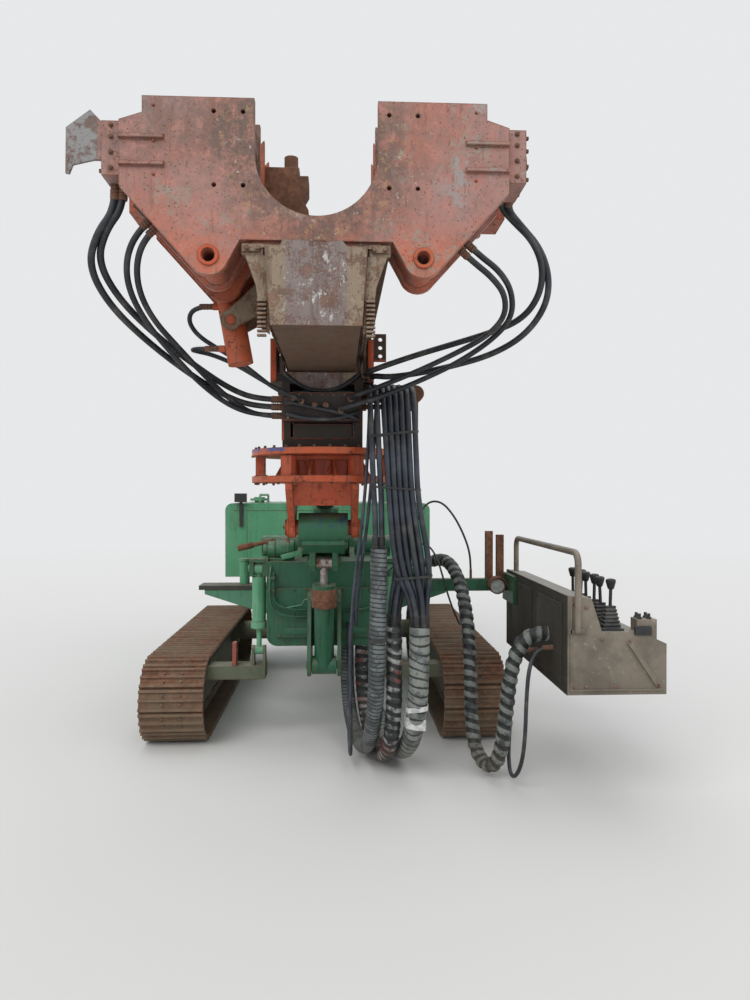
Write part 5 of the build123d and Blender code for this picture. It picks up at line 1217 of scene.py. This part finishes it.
def make_hull_details():
    def hatch(bm):
        slab(bm, at(-262, -1214, 700), at(262, HULL_FRONT, 742), 0.003)
        for x in (-290, -200, -120, 120, 200, 290):
            heads(bm, [(x, HULL_FRONT, 985), (x, HULL_FRONT, 695)], FORWARD, 0.011, 0.009)

    def lines(bm):
        runs = (
            [(-330, -1190, 1100), (-330, -1250, 1060), (-330, -1250, 900), (-200, -1250, 860), (-120, -1225, 860)],
            [(-350, -1190, 1140), (-350, -1268, 1110), (-352, -1268, 860), (-210, -1262, 815), (-120, -1225, 815)],
            [(330, -1190, 1110), (330, -1245, 1080), (335, -1245, 900), (250, -1240, 860), (120, -1225, 850)],
        )
        for points in runs:
            sweep_ring(bm, route_line("hard_line", points), 0.008, 10)
        for z in (980, 1060):
            slab(bm, at(-366, -1262, z), at(-318, -1179, z + 16), 0.003)

    def lever(bm):
        grip = ((-330, -1040, 1300), (-400, -1048, 1288), (-480, -1056, 1270), (-560, -1062, 1252))
        bent_rod(bm, grip, 0.014, 14)
        round_bar(bm, at(-478, -1056, 1271), Vector((-80, -6, -18)), 0.021, 0.105, 18, bevel=0.005)

    def drum(bm):
        axis = (-1, 0, 0)
        round_bar(bm, at(-205, -1040, 1238), axis, 0.062, 0.175, 36, bevel=0.008)
        round_bar(bm, at(-238, -1040, 1238), axis, 0.066, 0.012, 36, bevel=0.003)
        round_bar(bm, at(-330, -1040, 1238), axis, 0.067, 0.014, 36, bevel=0.003)
        round_bar(bm, at(-378, -1040, 1238), axis, 0.044, 0.034, 28, bevel=0.006)
        for turn in turns(6):
            heads(bm, [(-380, -1040 + 52 * cos(turn), 1238 + 52 * sin(turn))], axis, 0.009, 0.008)
        slab(bm, at(-372, -1100, 1168), at(-215, -980, 1186), 0.004)

    def bar(bm):
        slab(bm, at(-292, -1128, 1190), at(-150, -1108, 1226), 0.003, Matrix.Rotation(radians(-14), 4, "Y"))
        bent_rod(bm, ((-255, -1206, 872), (-150, -1206, 890), (-132, -1206, 924), (-80, -1206, 931)), 0.005, 10)
        bent_rod(bm, ((-430, -1046, 1312), (-380, -1046, 1326), (-300, -1046, 1318)), 0.005, 10)

    def gland(bm):
        low, high = Vector((0, -1470, 560)), Vector((0, -1540, 1200))
        along = (high - low).normalized()
        base = low + along * 366
        round_bar(bm, at(*base), along, 0.0755, 0.118, 40, bevel=0.005)
        round_bar(bm, at(*(base + along * 40)), along, 0.0785, 0.020, 40, bevel=0.004)

    piece("hull_front_plate", hatch, "green", "root")
    piece("hull_hard_lines", lines, "green", "root")
    piece("hull_lever", lever, "rust", "root")
    piece("hull_drum", drum, "boom", "root")
    piece("hull_bars", bar, "hood", "root")
    piece("lift_gland", gland, "rust", "lift_barrel")


def make_hood_details():
    def latches(bm, side):
        for y in (1250, 1560):
            base = at(side * 880, y, 1352)
            round_bar(bm, base, (side, 0, 0), 0.030, 0.006, 24, bevel=0.002)
            slab(bm, base + Vector((side * 0.006 - 0.004, -0.006, -0.026)),
                 base + Vector((side * 0.014 + 0.004, 0.006, 0.026)), 0.002)
        for n in range(9):
            z = 1010 + n * 26
            slab(bm, at(side * 884 - 5, 800, z), at(side * 884 + 5, 1120, z + 9), 0.003)

    def rails(bm):
        for x in (-600, 600):
            rail = ((560, 1528), (560, 1580), (575, 1598), (610, 1602),
                    (1290, 1602), (1325, 1598), (1340, 1580), (1340, 1528))
            bent_rod(bm, [(x, y, z) for y, z in rail], 0.011, 12)
            for y in (560, 1340):
                round_bar(bm, at(x, y, HOOD_TOP), UP, 0.026, 0.006, 20, bevel=0.002)

    def seams(bm):
        slab(bm, at(-700, 396, 905), at(-694, 400.5, 1480), 0.0015)
        slab(bm, at(694, 396, 905), at(700, 400.5, 1480), 0.0015)
        slab(bm, at(-820, 395, 1468), at(820, 400.5, 1474), 0.0015)
        for x in range(-780, 781, 130):
            round_bar(bm, at(x, 400.5, 1496), FORWARD, 0.007, 0.004, 10, bevel=0.001)
            round_bar(bm, at(x, 460, HOOD_TOP), UP, 0.007, 0.003, 10, bevel=0.001)
            round_bar(bm, at(x, 1840, HOOD_TOP), UP, 0.007, 0.003, 10, bevel=0.001)

    for side, name in ((-1, "left"), (1, "right")):
        piece("door_fittings_" + name, lambda bm: latches(bm, side), "grille", "hood_door_" + name)
    piece("hood_top_rails", rails, "hood", "root")
    piece("hood_seams", seams, "hood", "root")


def make_head_details():
    head_y = 1100
    motor_z = DRILL_Z + 60

    def bolts(bm):
        for count, radius, y in ((12, 192, head_y - 280), (8, 130, head_y - 330)):
            ring = turns(count, pi / count)
            heads(bm, [(radius * cos(t), y, DRILL_Z + radius * sin(t)) for t in ring], FORWARD, 0.016, 0.013)
        for x in (-125, 125):
            places = [(x + 62 * cos(t), head_y + 442, motor_z + 62 * sin(t)) for t in turns(6)]
            heads(bm, places, BACK, 0.012, 0.010)
        for side in SIDES:
            rows = [(side * 246, y, z) for y in (915, 1050, 1185) for z in (2762, 2988)]
            heads(bm, rows, (side, 0, 0), 0.012, 0.010)
            heads(bm, [(side * 290, y, 2650) for y in (690, 780, 1420, 1510)], UP, 0.016, 0.013)

    def covers(bm):
        for side in SIDES:
            x0, x1 = sorted((side * 240, side * 246))
            slab(bm, at(x0, 895, 2742), at(x1, 1205, 3008), 0.002)
        slab(bm, at(-130, 940, 3192), at(130, 1180, 3197), 0.002)
        for x in (-125, 125):
            ring_boss(bm, at(x, head_y + 220, motor_z), 0.0905, 0.112, 0.018, BACK)
            round_bar(bm, at(x, head_y + 430, motor_z), BACK, 0.080, 0.012, 36, bevel=0.003)
            for n in range(6):
                round_bar(bm, at(x, head_y + 262 + n * 26, motor_z), BACK, 0.0935, 0.010, 36, bevel=0.002)

    def ports(bm):
        for x in (-125, 125):
            for y in (head_y + 290, head_y + 372):
                round_bar(bm, at(x, y, motor_z + 88), UP, 0.020, 0.026, 6, bevel=0.002)
                round_bar(bm, at(x, y, motor_z + 113), UP, 0.013, 0.030, 18, bevel=0.002)

    piece("head_bolts", bolts, "rust", "carriage")
    piece("head_covers", covers, "old_orange", "carriage")
    piece("head_ports", ports, "chain", "carriage")


# Control stand


def stack(bm, sections, square=0.0, segments=24):
    """Skin through level loops: (centre, half x, half y) each, square from 0, round, to 1."""
    loops = [level_loop(bm, centre, half_x, half_y, segments, square) for centre, half_x, half_y in sections]
    for first, second in zip(loops, loops[1:]):
        bmesh.ops.bridge_loops(bm, edges=first + second)
    bmesh.ops.holes_fill(bm, edges=loops[0] + loops[-1], sides=segments)


LEVERS = 6


def make_levers():
    """Levers with their folded square boots, in place of the plain CAD ones."""
    lean = (6, -10, 4, -5, 12, -2)

    def boots(bm):
        for n in range(LEVERS):
            y = -2290 + n * 120
            slab(bm, at(1480 - 58, y - 52, 915), at(1480 + 58, y + 52, 925), 0.003)
            sections = []
            for k in range(13):
                share = k / 12
                wide = 54 - 26 * share - (6 if k % 2 else 0)
                deep = 47 - 27 * share - (6 if k % 2 else 0)
                sections.append((at(1480 + lean[n] * share * 0.6, y, 922 + share * 112), wide * MM, deep * MM))
            stack(bm, sections, 0.75)

    def sticks(bm):
        for n in range(LEVERS):
            y = -2290 + n * 120
            base = at(1480 + lean[n] * 0.5, y, 1030)
            tip = at(1480 + lean[n], y, 1135)
            round_bar(bm, base, tip - base, 0.0085, (tip - base).length, 16)
            knob = [(at(1480 + lean[n], y, z), r * MM, r * MM) for z, r in
                    ((1120, 12), (1124, 16), (1138, 20), (1152, 24), (1163, 26), (1170, 24), (1174, 16), (1175, 4))]
            stack(bm, knob)

    first = piece("lever_boots", boots, "black", "console")
    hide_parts("console_levers")
    piece("lever_sticks", sticks, "knob", "console")


def make_console_details():
    def screws(bm):
        places = [(1262, 640), (1262, 1060), (1330, 1040), (1410, 880), (1700, 640), (1480, 640), (1330, 640)]
        for x, z in places:
            base = at(x, -2380, z)
            round_bar(bm, base, FORWARD, 0.011, 0.004, 16, bevel=0.001)
            round_bar(bm, base + Vector((0, -0.003, 0)), FORWARD, 0.0055, 0.002, 6)

    def panel(bm):
        slab(bm, at(1246, -2386, 618), at(1724, -2380, 630), 0.002)
        slab(bm, at(1246, -2386, 630), at(1256, -2380, 1068), 0.002)

    def side(bm):
        for y0 in (-2300, -1700):
            slab(bm, at(1224, y0, 640), at(1230, y0 + 480, 1050), 0.003)
            for dy in (20, 240, 460):
                for z in (658, 1032):
                    round_bar(bm, at(1224, y0 + dy, z), (-1, 0, 0), 0.007, 0.004, 12, bevel=0.001)

    def switches(bm):
        for x, y in ((1612, -2350), (1660, -2350), (1612, -2308), (1660, -2308)):
            round_bar(bm, at(x, y, 976.5), UP, 0.013, 0.010, 18, bevel=0.002)
            round_bar(bm, at(x, y, 986), UP, 0.008, 0.018, 14, bevel=0.002)
        slab(bm, at(1574, -2394, 900), at(1660, -2374, 945), 0.004)

    def bar_bolts(bm):
        for x, z in ((1546, 870), (1694, 650)):
            hex_head(bm, at(x, -2394, z), FORWARD, 0.010, 0.009)

    piece("console_screws", screws, "chain", "console")
    piece("console_edge", panel, "console", "console")
    piece("console_side_panels", side, "console", "console")
    piece("console_switches", switches, "black", "console")
    piece("console_bar_bolts", bar_bolts, "rust", "console")

    def glass(bm):
        round_bar(bm, at(1140, -1157, 1000), FORWARD, 0.046, 0.006, 36, bevel=0.003)

    piece("work_lamp_glass", glass, "lens", "console")


# Stage


BACKDROP = (0.80, 0.81, 0.82)


def floor_finish():
    """Pale matt floor that runs out into the backdrop's colour far from the machine."""
    f = Finish("floor_pale")
    far = f.add("VectorMath", {"operation": "LENGTH"}, f.coords, output="Value").above(7.0, 20.0)
    matt = f.add("BsdfDiffuse", {}, (0.66, 0.65, 0.63, 1.0))
    plain = f.add("Emission", {}, (*BACKDROP, 1.0), 1.0)
    f.add("OutputMaterial", {}, Surface=f.add("MixShader", {}, far, matt, plain))
    return f.material


def make_stage():
    """Pale floor, soft studio light and the photograph's camera."""
    scene = bpy.context.scene
    scene.view_settings.view_transform = "Standard"
    floor_mesh = bpy.data.meshes.new("floor")
    bm = bmesh.new()
    bmesh.ops.create_grid(bm, x_segments=1, y_segments=1, size=60.0)
    bm.to_mesh(floor_mesh)
    bm.free()
    floor = bpy.data.objects.new("floor", floor_mesh)
    floor.location = (0, 0, -0.001)
    bpy.context.collection.objects.link(floor)
    floor_mesh.materials.append(floor_finish())

    world = bpy.data.worlds.new("studio")
    world.use_nodes = True
    scene.world = world
    tree = world.node_tree
    tree.nodes.clear()
    path = tree.nodes.new("ShaderNodeLightPath")
    light = tree.nodes.new("ShaderNodeBackground")
    light.inputs["Color"].default_value = (0.90, 0.95, 1.0, 1.0)
    light.inputs["Strength"].default_value = 0.55
    pale = tree.nodes.new("ShaderNodeBackground")
    pale.inputs["Color"].default_value = (*BACKDROP, 1.0)
    seen = path.outputs["Is Camera Ray"]
    for kind in ("Is Glossy Ray", "Is Transmission Ray"):
        either = tree.nodes.new("ShaderNodeMath")
        either.operation = "MAXIMUM"
        tree.links.new(seen, either.inputs[0])
        tree.links.new(path.outputs[kind], either.inputs[1])
        seen = either.outputs[0]
    pick = tree.nodes.new("ShaderNodeMixShader")
    out = tree.nodes.new("ShaderNodeOutputWorld")
    tree.links.new(seen, pick.inputs[0])
    tree.links.new(light.outputs[0], pick.inputs[1])
    tree.links.new(pale.outputs[0], pick.inputs[2])
    tree.links.new(pick.outputs[0], out.inputs[0])

    lamps = (
        # name, place that it shines from, watts a square metre, width of its disc in degrees
        ("key", (-5.0, -8.0, 8.0), 1.45, 40),
        ("fill", (7.0, -6.0, 5.0), 0.80, 60),
        ("top", (0.0, 3.0, 10.0), 0.85, 70),
    )
    for name, place, strength, width in lamps:
        data = bpy.data.lights.new(name, "SUN")
        data.energy = strength
        data.angle = radians(width)
        lamp = bpy.data.objects.new(name, data)
        lamp.location = place
        lamp.rotation_euler = (-Vector(place)).to_track_quat("-Z", "Y").to_euler()
        bpy.context.collection.objects.link(lamp)

    view = bpy.data.cameras.new("photo_camera")
    view.lens = 27.0
    view.sensor_width = 36.0
    view.clip_end = 200.0
    camera = bpy.data.objects.new("photo_camera", view)
    camera.location = (-0.205, -6.140, 1.610)
    camera.rotation_euler = (radians(90 - 0.46), 0, radians(-2.82))
    bpy.context.collection.objects.link(camera)
    scene.camera = camera


make_stage()
dress_nodes()
make_ties(make_hoses())
for side, word in ((-1, "left"), (1, "right")):
    piece("shoe_bolts_" + word, lambda bm: shoe_bolts(bm, side), "track", "root")
    piece("wheel_caps_" + word, lambda bm: roller_caps(bm, side), "under", "root")
chains = [piece("chain_links_" + word, lambda bm: chain_links(bm, side), "chain", "mast")
          for side, word in ((-1, "left"), (1, "right"))]
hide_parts("feed_chains")
make_clamp_details()
make_cradle_details()
make_ring_details()
make_hull_details()
make_hood_details()
make_head_details()
make_levers()
make_console_details()
